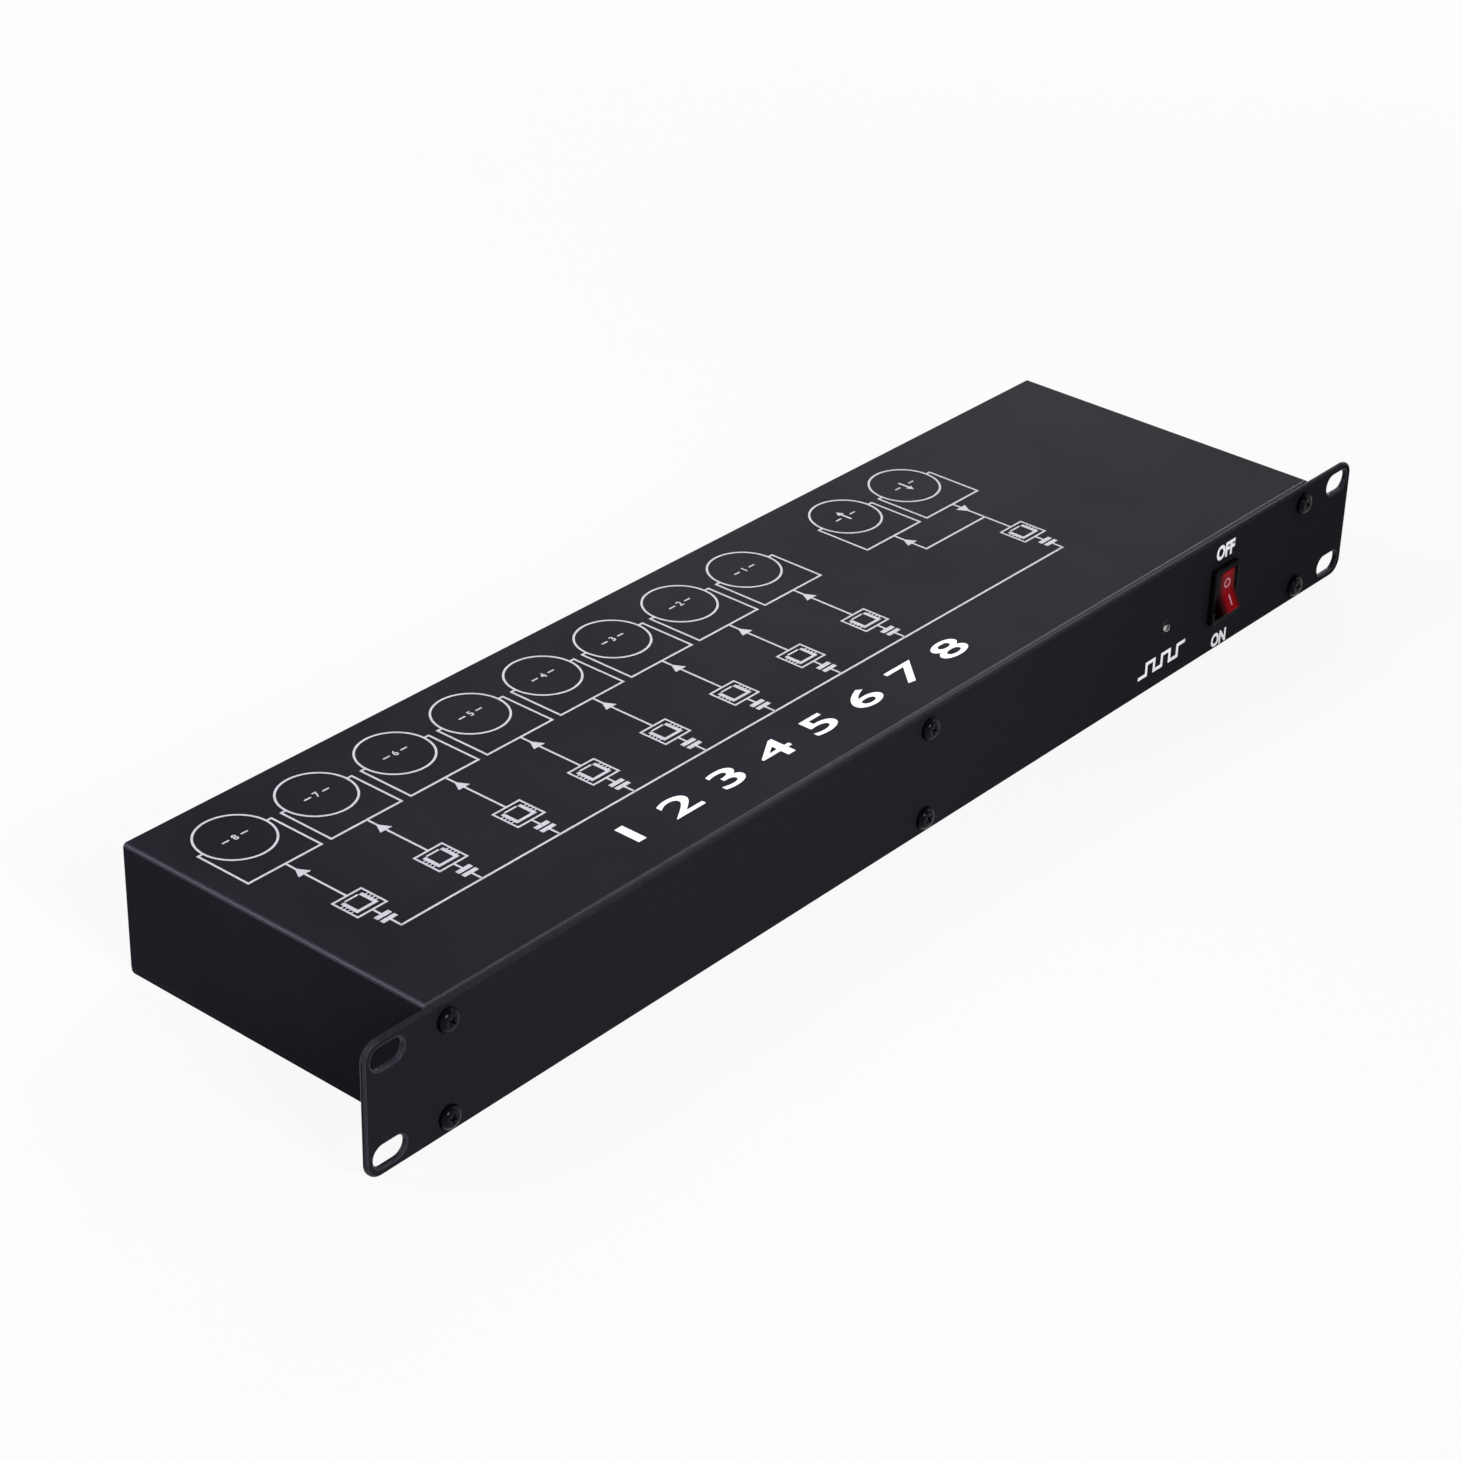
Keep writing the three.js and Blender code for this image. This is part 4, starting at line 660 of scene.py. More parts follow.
# %% [markdown]
# The cover is one sheet of 1.2 mm steel, folded down at the front and at both sides. A folded
# sheet is easiest as a block without the faces that are open: Solidify gives the wall its
# thickness inwards, and the outer folds are bevelled after that, because a tight fold stays
# sharp inside. The top stays 0.05 mm lower than the frame's, because the printed ink lies on it.

# %% Cover: the folded sheet
SHEET = 1.2
FOLD = 1.4
INK = 0.05
SIDE_FOOT = 1.5

top_z = case_z[1] - INK
cover = add_block(case_x, case_y, (case_z[0], top_z))
bpy.ops.object.mode_set(mode="EDIT")
bpy.ops.mesh.select_mode(type="FACE")
bpy.ops.mesh.select_all(action="DESELECT")
bpy.ops.object.mode_set(mode="OBJECT")
for face in cover.data.polygons:
    face.select = face.normal.y > 0.5 or face.normal.z < -0.5
bpy.ops.object.mode_set(mode="EDIT")
bpy.ops.mesh.delete(type="FACE")
bpy.ops.object.mode_set(mode="OBJECT")
modify(cover, "SOLIDIFY", thickness=SHEET * MM, offset=-1.0, use_even_offset=True)
top_folds = both(at(Z, top_z), lambda a, b: not (near(a.y, case_y[1]) and near(b.y, case_y[1])))
round_edges(cover, top_folds, FOLD, 8)
print("the folded sheet has", len(cover.data.polygons), "faces")

# %% [markdown]
# The sides stop above the tray's floor and turn in as flanges, into which the screws from
# below go. Pressed nuts sit behind each screw hole. They are welded on, as they are pressed
# into the real sheet.

# %% Cover: flanges, nuts and holes
FLANGE_WIDTH = 12.0
FLANGE_ENDS = (-53.7, 57.8)
NUT_WALL = 1.3
PANEL_NUT_LENGTH = 2.6
COVER_NUT_LENGTH = 2.0
COVER_NUT_WALL = 1.2
COVER_SCREW_Y = 40.0
COVER_SCREW_HOLE = 1.7
COVER_SCREW_PATH = (0.0, 10.0)

flange_z = (SIDE_FOOT, SIDE_FOOT + SHEET)
flange_edge = case_x[1] - SHEET - FLANGE_WIDTH
cover_screw_x = case_x[1] - SHEET - FLANGE_WIDTH / 2
cover_spots = [(x, y, 0) for x in (-cover_screw_x, cover_screw_x)
               for y in (-COVER_SCREW_Y, COVER_SCREW_Y)]
wall_y = (case_y[0] + SHEET / 2, case_y[0] + SHEET + PANEL_NUT_LENGTH)
cover_nut_z = (flange_z[0] + SHEET / 2, flange_z[1] + COVER_NUT_LENGTH)

cut(cover, add_block(through(case_x), (case_y[0] + SHEET, case_y[1] + OVERRUN),
                     (-OVERRUN, SIDE_FOOT)))
weld(cover, *add_pair(flange_edge, case_x[1] - SHEET / 2, FLANGE_ENDS, flange_z),
     *add_pegs(Y, wall_y, SCREW_HOLE + NUT_WALL, upper_screws),
     *add_pegs(Z, cover_nut_z, COVER_SCREW_HOLE + COVER_NUT_WALL, cover_spots))
cut(cover, *front_openings(through((case_y[0], wall_y[1]))),
    *add_pegs(Z, COVER_SCREW_PATH, COVER_SCREW_HOLE, cover_spots))
soften(cover, CAST_EDGE)
# The cover's folds get the lighter coat: partly rubbed, partly a painted highlight.
rub_and_highlight(dress(cover, "folded_cover", powder_coat, ["top_cover"]), rubbed_and_highlight_coat)

# %% [markdown]
# The tray is the other sheet: the floor, a low wall in front and the full rear wall with a
# stiffening flange at its top. It grows from a plane whose edges are pulled up one after the
# other. The folds are rounded while the sheet is still thin, then Solidify thickens it.

# %% Tray: the folded sheet
TRAY_FRONT_WALL = 11.0
TOP_FLANGE = 8.0
tray_x, tray_y, tray_z = spans("base_tray")

tray = add_object(bpy.ops.mesh.primitive_plane_add, size=MM,
                  location=point(middle(tray_x), middle(tray_y), 0))
tray.scale = (length(tray_x), length(tray_y), 1)
settle(tray)
pull_edges(tray, both(along(X), at(Y, tray_y[0])), z=TRAY_FRONT_WALL)
pull_edges(tray, both(along(X), at(Y, tray_y[1])), z=tray_z[1])
pull_edges(tray, both(along(X), at(Z, tray_z[1])), y=-TOP_FLANGE)
folds = both(along(X), lambda a, b: near(a.z, 0) or (near(a.z, tray_z[1]) and near(a.y, tray_y[1])))
face_outwards(round_edges(tray, folds, FOLD, 8))
modify(tray, "SOLIDIFY", thickness=SHEET * MM, offset=-1.0, use_even_offset=True)
print("the tray measures", [round(size / MM, 1) for size in tray.dimensions])

# %% [markdown]
# The rear wall is shorter than the floor, because it stands between the cover's sides. It has
# a round opening with two screw holes for each round connector, and a square one for the
# mains inlet. Six posts carry the circuit board. All openings are joined and cut at once,
# because a face that is cut again and again collects slivers. The cones for the sunk screws
# come after the straight holes and end inside them.

# %% Tray: ends, openings, nuts and posts
CUTOUT = 12.0
RIVET_HOLE = 1.6
FLANGE_HOLES = ((-9.5, 0, 12.0), (9.5, 0, -12.0))
INLET_HOLE = (28.0, 31.6)
INLET_SCREWS = ((-20.0, 0, 0), (20.0, 0, 0))
GAP = 0.3
POST_RADIUS = 3.0
POST_TIP = 1.5
POST_TIP_LENGTH = 3.4
POST_INSET = 5.0
NUT_REACH = 6.0
SUNK_HEAD = 2.9
SINK_STOP = 0.05
SINK_NARROWING = 0.1

sockets = [name.removesuffix("_shell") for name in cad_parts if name.endswith("_shell")]
connector_x = {name: middle(span(name + "_shell", X)) for name in sockets}
inlet_x = middle(span("inlet_housing", X))
board_x, board_y, board_z = spans("main_board")
wall_end = case_x[1] - SHEET - GAP
rear_y = case_y[1]
through_rear = through((rear_y - SHEET, rear_y))
nut_y = (tray_y[0] + SHEET / 2, tray_y[0] + SHEET + PANEL_NUT_LENGTH)
posts = [(x, y, 0) for x in (board_x[0] + POST_INSET, 0.0, board_x[1] - POST_INSET)
         for y in (board_y[0] + POST_INSET, middle(board_y))]


def rear_holes(x, offsets):
    """Tools that cut screw holes into the rear wall beside a connector's axis."""
    return add_pegs(Y, through_rear, RIVET_HOLE, [(x + dx, 0, centre_z + dz) for dx, _, dz in offsets])


cut(tray, join(add_pair(wall_end, case_x[1] + OVERRUN, (case_y[0], rear_y + OVERRUN),
                        (SHEET, case_z[1]))))
post_rods = [add_rod(Z, (SHEET / 2, board_z[0]), POST_RADIUS, post, sides=6) for post in posts]
post_tips = [add_rod(Z, (board_z[0] - SHEET, board_z[0] + POST_TIP_LENGTH), POST_TIP, post, sides=16)
             for post in posts]
tray_nuts = add_pegs(Y, nut_y, SCREW_HOLE + NUT_WALL, lower_screws)
weld(tray, join(post_rods + tray_nuts), join(post_tips))

openings = []
for x in connector_x.values():
    openings += [add_rod(Y, through_rear, CUTOUT, (x, 0, centre_z)), *rear_holes(x, FLANGE_HOLES)]
openings += [add_block(around(inlet_x, INLET_HOLE[0]), through_rear, around(centre_z, INLET_HOLE[1])),
             *rear_holes(inlet_x, INLET_SCREWS),
             *add_pegs(Y, (case_y[0], tray_y[0] + NUT_REACH), SCREW_HOLE, lower_screws),
             *add_pegs(Z, (-OVERRUN, 2 * SHEET), COVER_SCREW_HOLE, cover_spots)]
sinks = add_pegs(Z, (-HAIR, SHEET - SINK_STOP), SUNK_HEAD, cover_spots,
                 COVER_SCREW_HOLE - SINK_NARROWING)
cut(tray, join(openings), join(sinks))
soften(tray, MOULDED_EDGE)
# The tray's rounded edges get the rim coat, which is a shade lighter as a painted highlight.
rub_and_highlight(dress(tray, "folded_tray", powder_coat, ["base_tray"]), rim_highlight_coat)

# %% [markdown]
# The panel screws are M4 with a pan head: a low rod whose front rim is strongly rounded. The
# cross in the head is two crossed bars that get narrower inwards, as the tip of a driver
# does. Narrowing is a resize of the bars' inner faces in edit mode.

# %% A cross for a screw head
CROSS_TAPER = 0.45


def add_cross(width, reach, depth, front):
    """Two crossed tapered bars that stand in the X-Z plane and get narrower along +Y."""
    bars = [add_block(around(0, across), (front - OVERRUN, front + depth), around(0, up))
            for across, up in ((width, 2 * reach), (2 * reach, width))]
    for bar in bars:
        select_edges(bar, at(Y, front + depth))
        bpy.ops.transform.resize(value=(CROSS_TAPER, 1.0, CROSS_TAPER))
        bpy.ops.object.mode_set(mode="OBJECT")
    return bars


print("a cross is two tapered bars")

# %% Panel screws
HEAD_RADIUS = 3.75
HEAD_HEIGHT = 2.3
HEAD_ROUNDING = 1.7
SHANK_RADIUS = 2.0
SHANK_LENGTH = 8.0
CROSS_TURNS = (38, 12, 22, -30, 40, 8)

pan_screw = add_rod(Y, (-HEAD_HEIGHT, 0), HEAD_RADIUS)
round_edges(pan_screw, at(Y, -HEAD_HEIGHT), HEAD_ROUNDING, 8)
weld(pan_screw, add_peg(Y, (-HEAD_HEIGHT / 2, SHANK_LENGTH), SHANK_RADIUS))
cut(pan_screw, *add_cross(width=1.0, reach=2.1, depth=1.4, front=-HEAD_HEIGHT))
soften(pan_screw, METAL_EDGE)
for number, ((x, _, z), degrees) in enumerate(zip(screw_spots, CROSS_TURNS), start=1):
    screw = shift(turn(copy_of(pan_screw), Y, degrees), x, panel_y[0], z)
    dress(screw, f"pan_head_screw_{number}", black_steel, [f"panel_screw_{number}"])
bpy.data.objects.remove(pan_screw)

# %% [markdown]
# Four countersunk screws hold the cover from below. A cone makes the head, and its flat side
# looks down, flush with the floor.

# %% Sunk screws
SUNK_RADIUS = 2.7
SUNK_SHANK = 1.5
SUNK_NECK = 1.6
SHANK_START = 0.2
COVER_SCREW_LENGTH = 6.0
TURN_STEP = 25


def add_sunk_screw(shank_length):
    """A countersunk screw along +Y with its flat head at zero."""
    screw = add_peg(Y, (0, SUNK_RADIUS - SUNK_SHANK), SUNK_RADIUS, end_radius=SUNK_NECK)
    weld(screw, add_peg(Y, (SHANK_START, shank_length), SUNK_SHANK))
    cut(screw, *add_cross(width=0.8, reach=1.5, depth=0.9, front=0.0))
    return soften(screw, FINE_EDGE)


sunk_screw = turn(add_sunk_screw(COVER_SCREW_LENGTH), X, 90)
foot_z = span("cover_screw_1", Z)[0]
for number, (x, y, _) in enumerate(cover_spots, start=1):
    screw = shift(turn(copy_of(sunk_screw), Z, TURN_STEP * number), x, y, foot_z)
    dress(screw, f"sunk_screw_{number}", black_steel, [f"cover_screw_{number}"])
bpy.data.objects.remove(sunk_screw)

# %% [markdown]
# The round connectors are drawn about their own axis, with zero at the rear wall's outer
# face, and are copied to their places. A shell is a rectangular flange with two diagonal sunk
# holes, a round nose, and a barrel behind the wall, with a bore that has a broken rim.

# %% Flanges and shells
FLANGE = (26.0, 31.0, 2.0)
FLANGE_CORNER = 3.0
FLANGE_SINK = (0.7, 2.8)
NOSE_FOOT = 1.0
NOSE_RADIUS = 12.15
NOSE_ROUNDING = 0.6
BARREL_RADIUS = 11.7
SHELL_FLOOR = 2.0
REAR_SCREW_LENGTH = 5.0
SLACK = 0.05


def cut_sunk_holes(plate, spots, top, cone_foot, cone_radius):
    """Cuts screw holes that widen towards the top of a plate, which looks along +Y."""
    for spot in spots:
        cut(plate, add_peg(Y, (-OVERRUN, top + OVERRUN), RIVET_HOLE, spot),
            add_peg(Y, (cone_foot, top + HAIR), RIVET_HOLE, spot, cone_radius))
    return plate


def add_rear_screws(spots, top, turns):
    """Sunk screws with their heads towards +Y, joined into one piece."""
    return join([shift(turn(turn(add_sunk_screw(REAR_SCREW_LENGTH), Z, 180), Y, degrees),
                       x, top - SLACK, z) for (x, _, z), degrees in zip(spots, turns)])


def add_shell(front, depth, bore, rim, *openings):
    plate = rounded_plate(around(0, FLANGE[0]), (0, FLANGE[2]), around(0, FLANGE[1]), FLANGE_CORNER)
    shell = cut_sunk_holes(plate, FLANGE_HOLES, FLANGE[2], *FLANGE_SINK)
    nose = round_edges(add_rod(Y, (NOSE_FOOT, front), NOSE_RADIUS), at(Y, front), NOSE_ROUNDING, 3)
    weld(shell, nose, add_rod(Y, (-depth, NOSE_FOOT), BARREL_RADIUS))
    cut(shell, add_rod(Y, (SHELL_FLOOR - depth, front + OVERRUN), bore),
        add_rod(Y, (front - rim, front + HAIR), bore, end_radius=bore + rim), *openings)
    return soften(shell, CAST_EDGE)


flange_screws = add_rear_screws(FLANGE_HOLES, FLANGE[2], (0, 50))
print("two flange screws have", len(flange_screws.data.polygons), "faces")

# %% [markdown]
# A pocket above a socket's bore takes the push tab of the latch. Inside the bore stands the
# insert, a plug of nylon with three contact holes. A small rib on its side keys it, and a
# broken front edge guides the mating connector. The contacts are plated tubes that sit a
# little back in their holes.

# %% Socket shell, insert and contacts
SOCKET_FRONT = FLANGE[2] + 2.5
SOCKET_DEPTH = 22.0
SOCKET_BORE = 9.8
SOCKET_RIM = 0.5
SPIGOT_HOLE = 6.5
SPIGOT_HOLE_END = 3.0
SPIGOT_Y = (-2.0, 4.0)
STEM_FOOT = 10.05
STEM_SLOT = (6.6, (-15.0, 0.0))
TAB_POCKET = (9.0, 13.95)
INSERT_RADIUS = 7.8
INSERT_ENDS = (2.3 - SOCKET_DEPTH, SOCKET_FRONT - 1.0)
INSERT_ROUNDING = 0.6
KEY_WIDTH = 2.4
KEY_SETBACK = 2.5
KEY_Z = (5.0, 8.7)
CONTACT_RING = 5.05
CONTACTS = ((CONTACT_RING, 0, 0.0), (-CONTACT_RING, 0, 0.0), (0.0, 0, -CONTACT_RING))
CONTACT_HOLE = 1.4
CONTACT_BORE = 0.95
CONTACT_REACH = 12.0
CONTACT_SETBACK = 0.9
TUBE_FLOOR = 2.0
contact_end = INSERT_ENDS[1] - CONTACT_REACH

socket_shell = add_shell(
    SOCKET_FRONT, SOCKET_DEPTH, SOCKET_BORE, SOCKET_RIM,
    add_rod(Y, (-SOCKET_DEPTH - OVERRUN, SPIGOT_HOLE_END - SOCKET_DEPTH), SPIGOT_HOLE),
    add_block(around(0, STEM_SLOT[0]), STEM_SLOT[1], (STEM_FOOT - OVERRUN, NOSE_RADIUS)),
    add_block(around(0, TAB_POCKET[0]), (-OVERRUN, SOCKET_FRONT + OVERRUN),
              (STEM_FOOT - OVERRUN, TAB_POCKET[1])))

socket_insert = add_rod(Y, INSERT_ENDS, INSERT_RADIUS)
round_edges(socket_insert, at(Y, INSERT_ENDS[1]), INSERT_ROUNDING, 3)
weld(socket_insert,
     add_rod(Y, [end - SOCKET_DEPTH for end in SPIGOT_Y], SPIGOT_HOLE - GAP),
     add_block(around(0, KEY_WIDTH), (INSERT_ENDS[0], INSERT_ENDS[1] - KEY_SETBACK), KEY_Z))
cut(socket_insert, *add_pegs(Y, (contact_end, INSERT_ENDS[1] + OVERRUN), CONTACT_HOLE, CONTACTS))
soften(socket_insert, CAST_EDGE)

tubes = add_pegs(Y, (contact_end + SLACK, INSERT_ENDS[1] - CONTACT_SETBACK), CONTACT_HOLE - SLACK,
                 CONTACTS)
bores = add_pegs(Y, (contact_end + TUBE_FLOOR, INSERT_ENDS[1]), CONTACT_BORE, CONTACTS)
for tube, bore in zip(tubes, bores):
    cut(tube, bore)
socket_contacts = soften(join(tubes), METAL_EDGE)
for model in (socket_shell, socket_insert, socket_contacts):
    print("a socket's part has", len(model.data.polygons), "faces")

# %% [markdown]
# The latch is a stamped and cast piece: a flat stem, a hook that looks down into the bore,
# and a push tab with three fine grooves for the thumb.

# %% Push tab
TAB_WIDTH = 8.4
TAB_Y = (2.3, 6.9)
TAB_TOP = 13.65
TAB_ROUNDING = 0.8
GROOVE_RADIUS = 0.28
GROOVES_Y = (3.3, 4.3, 5.3)
STEM = (6.0, (-12.7, 4.6), 1.4)
HOOK = (3.0, (-7.6, -6.0), (-0.9, 0.7))

push_tab = add_block(around(0, TAB_WIDTH), TAB_Y, (STEM_FOOT, TAB_TOP))
round_edges(push_tab, both(along(X), at(Y, TAB_Y[1]), at(Z, TAB_TOP)), TAB_ROUNDING, 4)
cut(push_tab, *[add_rod(X, around(0, TAB_WIDTH + OVERRUN), GROOVE_RADIUS, (0, y, TAB_TOP), sides=8)
                for y in GROOVES_Y])
weld(push_tab, add_block(around(0, STEM[0]), STEM[1], (STEM_FOOT, STEM_FOOT + STEM[2])),
     add_block(around(0, HOOK[0]), HOOK[1], (STEM_FOOT + HOOK[2][0], STEM_FOOT + HOOK[2][1])))
soften(push_tab, MOULDED_EDGE)
print("a push tab has", len(push_tab.data.polygons), "faces")

# %% Sockets in their places
for name in sockets:
    if name == "input":
        continue
    latch = "latch_" + name.removeprefix("output_")
    for model, ending, material, slot, nodes, body in (
            (socket_shell, "_housing", lacquer, "connector_shell", [name + "_shell"], "chassis"),
            (socket_insert, "_core", nylon, "connector_insert", [name + "_insert"], "chassis"),
            (push_tab, "_push_tab", nickel, "latch_metal", [name + "_latch"], latch),
            (socket_contacts, "_contacts", plated_brass, "contact_metal", (), "chassis"),
            (flange_screws, "_flange_screws", black_steel, "black_screw", (), "chassis")):
        piece = shift(copy_of(model), connector_x[name], rear_y, centre_z)
        dress(piece, name + ending, material, nodes, body)
for model in (socket_shell, socket_insert, push_tab, socket_contacts):
    bpy.data.objects.remove(model)

# %% [markdown]
# The input has the same flange, but it is an open cup with three pins, because the cable that
# feeds the unit carries the sockets. The pins have round tips.

# %% Input
CUP_FRONT = FLANGE[2] + 1.4
CUP_DEPTH = 16.0
CUP_BORE = 9.5
CUP_RIM = 0.7
KEYWAY = (2.6, -4.0, (8.5, 10.4))
DISC_Y = (2.3 - CUP_DEPTH, 5.3 - CUP_DEPTH)
PIN_RADIUS = 1.2
PIN_ENDS = (-CUP_DEPTH - 4.0, 0.5)
PIN_TIP = 0.9
DISC_EDGE = 0.3
input_spot = (connector_x["input"], rear_y, centre_z)


def pin_holes():
    return add_pegs(Y, (-CUP_DEPTH - OVERRUN, 0.0), PIN_RADIUS + GAP, CONTACTS)


cup = add_shell(CUP_FRONT, CUP_DEPTH, CUP_BORE, CUP_RIM,
                add_block(around(0, KEYWAY[0]), (KEYWAY[1], CUP_FRONT + OVERRUN), KEYWAY[2]),
                *pin_holes())
dress(shift(cup, *input_spot), "input_housing", lacquer, ["input_shell"])

disc = soften(cut(add_rod(Y, DISC_Y, CUP_BORE - GAP), *pin_holes()), DISC_EDGE, 3)
dress(shift(disc, *input_spot), "input_core", nylon, ["input_insert"])

for number, pin in enumerate(add_pegs(Y, PIN_ENDS, PIN_RADIUS, CONTACTS), start=1):
    soften(round_edges(pin, at(Y, PIN_ENDS[1]), PIN_TIP, 6), FINE_EDGE)
    dress(shift(pin, *input_spot), f"input_contact_{number}", plated_brass,
          [f"input_pin_{number}"])
dress(shift(flange_screws, *input_spot), "input_flange_screws", black_steel)

# %% [markdown]
# The mains inlet is one moulding: a flange, a recess with two cut corners for the plug, and
# below it a slot for the fuse drawer. The rim of the recess is broken inwards so that the
# plug finds its way.

# %% Inlet housing
INLET_FLANGE = (50.0, 34.0, 2.4)
INLET_CORNER = 4.0
INLET_RIM = 0.7
INLET_SINK = (1.0, 3.0)
INLET_BODY = (27.4, 31.0, (-22.0, 1.2))
RECESS = (24.2, 16.6, 16.4)
RECESS_CORNER = 4.6
RECESS_RIM = (1.0, 0.5)
RECESS_Z = 5.8
RECESS_FLOOR = INLET_FLANGE[2] - RECESS[2]
DRAWER_SLOT = (23.6, 8.4, 18.3)
DRAWER_Z = -9.9
BLADES = {"line": (-7.0, 3.8), "neutral": (7.0, 3.8), "earth": (0.0, 7.8)}
BLADE = (2.0, 4.0)
BLADE_TIP = 0.55
inlet_spot = (inlet_x, rear_y, centre_z)
inlet_front = INLET_FLANGE[2] + OVERRUN


def add_recess(grow, y):
    """A block with two cut upper corners."""
    recess = add_block(around(0, RECESS[0] + grow), y, around(RECESS_Z, RECESS[1] + grow))
    top = RECESS_Z + (RECESS[1] + grow) / 2
    return round_edges(recess, both(along(Y), at(Z, top)), RECESS_CORNER, 1)


housing = rounded_plate(around(0, INLET_FLANGE[0]), (0, INLET_FLANGE[2]), around(0, INLET_FLANGE[1]),
                        INLET_CORNER)
round_edges(housing, at(Y, INLET_FLANGE[2]), INLET_RIM, 3)
weld(housing, add_block(around(0, INLET_BODY[0]), INLET_BODY[2], around(0, INLET_BODY[1])))
cut(housing, add_recess(0.0, (RECESS_FLOOR, inlet_front)),
    add_recess(RECESS_RIM[0], (INLET_FLANGE[2] - RECESS_RIM[1], inlet_front)),
    add_block(around(0, DRAWER_SLOT[0]), (INLET_FLANGE[2] - DRAWER_SLOT[2], inlet_front),
              around(DRAWER_Z, DRAWER_SLOT[1])),
    *[add_block(around(x, BLADE[0] + 2 * GAP), through((INLET_BODY[2][0], RECESS_FLOOR)),
                around(z, BLADE[1] + 2 * GAP)) for x, z in BLADES.values()])
soften(cut_sunk_holes(housing, INLET_SCREWS, INLET_FLANGE[2], *INLET_SINK), MOULDED_EDGE)
dress(shift(housing, *inlet_spot), "inlet_moulding", nylon, ["inlet_housing"])

# %% Inlet screws and blades
inlet_screws = add_rear_screws(INLET_SCREWS, INLET_FLANGE[2], (0, 0))
dress(shift(inlet_screws, *inlet_spot), "inlet_flange_screws", black_steel)

for name in BLADES:
    blade_x, blade_y, blade_z = spans(f"inlet_{name}_blade")
    blade = round_edges(add_block(blade_x, blade_y, blade_z), at(Y, blade_y[1]), BLADE_TIP, 3)
    dress(soften(blade, METAL_EDGE), f"{name}_contact", nickel,
          [f"inlet_{name}_blade"])

# %% [markdown]
# The drawer holds one fuse across its width and slides out of the housing. Its face has a
# groove at the top for a fingernail. The fuse is a glass tube with a thin wire in it and a
# metal cap on each end.

# %% Fuse drawer
DRAWER_WIDTH = 23.0
DRAWER_HEIGHT = 7.8
DRAWER_FACE = (25.0, 1.0)
DRAWER_OVERLAP = 0.9
SEAT = (20.4, 5.7, 2.9)
NAIL_GROOVE = (9.0, 1.0)
_, drawer_y, drawer_z = spans("fuse_drawer")
fuse_x, fuse_y, fuse_z = spans("fuse")
face_y = INLET_FLANGE[2] + rear_y
drawer_middle = middle(drawer_z)

drawer = add_block(around(inlet_x, DRAWER_WIDTH), (drawer_y[0], face_y + DRAWER_OVERLAP),
                   around(drawer_middle, DRAWER_HEIGHT))
cut(drawer, add_block(around(inlet_x, SEAT[0]), around(middle(fuse_y), SEAT[1]),
                      (drawer_middle - SEAT[2], centre_z)))
weld(drawer, rounded_plate(around(inlet_x, DRAWER_FACE[0]), (face_y, drawer_y[1]), drawer_z,
                           DRAWER_FACE[1], 4))
cut(drawer, add_rod(X, around(inlet_x, NAIL_GROOVE[0]), NAIL_GROOVE[1],
                    (0, drawer_y[1], drawer_z[1]), sides=24))
soften(drawer, MOULDED_EDGE)
dress(drawer, "fuse_tray", nylon, ["fuse_drawer"], "drawer")

# %% Fuse
CAP_LENGTH = 5.0
CAP_RADIUS = 2.65
TUBE_RADIUS = 2.5
TUBE_BORE = 2.0
WIRE_RADIUS = 0.15
CAP_EDGE = 0.05
WIRE_INSET = 1.0
TUBE_INSET = 2.0
BORE_INSET = 2.5


def fuse_part(radius, inset, sides=SMALL_ROUND):
    """A rod on the fuse's axis whose ends lie inside the fuse's ends."""
    return add_rod(X, (fuse_x[0] + inset, fuse_x[1] - inset), radius, fuse_spot, sides=sides)


fuse_spot = (0, middle(fuse_y), middle(fuse_z))
caps = [add_peg(X, ends, CAP_RADIUS, fuse_spot)
        for ends in ((fuse_x[0], fuse_x[0] + CAP_LENGTH), (fuse_x[1] - CAP_LENGTH, fuse_x[1]))]
fuse_caps = soften(join([*caps, fuse_part(WIRE_RADIUS, WIRE_INSET, 8)]), CAP_EDGE)
glass = soften(cut(fuse_part(TUBE_RADIUS, TUBE_INSET), fuse_part(TUBE_BORE, BORE_INSET)), FINE_EDGE)
dress(glass, "fuse_tube", fuse_glass, ["fuse"], "drawer")
dress(fuse_caps, "fuse_caps", nickel, (), "drawer")

# %% [markdown]
# The switch is a common snap-in rocker. Its black bezel has round corners and a soft front
# edge, and the well inside it is open to the front. The rocker turns on two short pins in the
# well's side walls.

# %% Switch body
BEZEL = (15.0, 21.0)
BEZEL_CORNER = 1.2
BEZEL_ROUNDING = 0.6
BODY_ENDS = (-1.0, 15.0)
SNAP_TAB = (4.8, 14.2, 0.8)
SNAP_TAB_Z = 4.5
WELL = (11.0, 17.2, 9.5)
PIVOT_HOLE = 1.4
PIVOT = (switch_x, panel_y[0] + 1.2, centre_z)
switch_y = span("switch_body", Y)

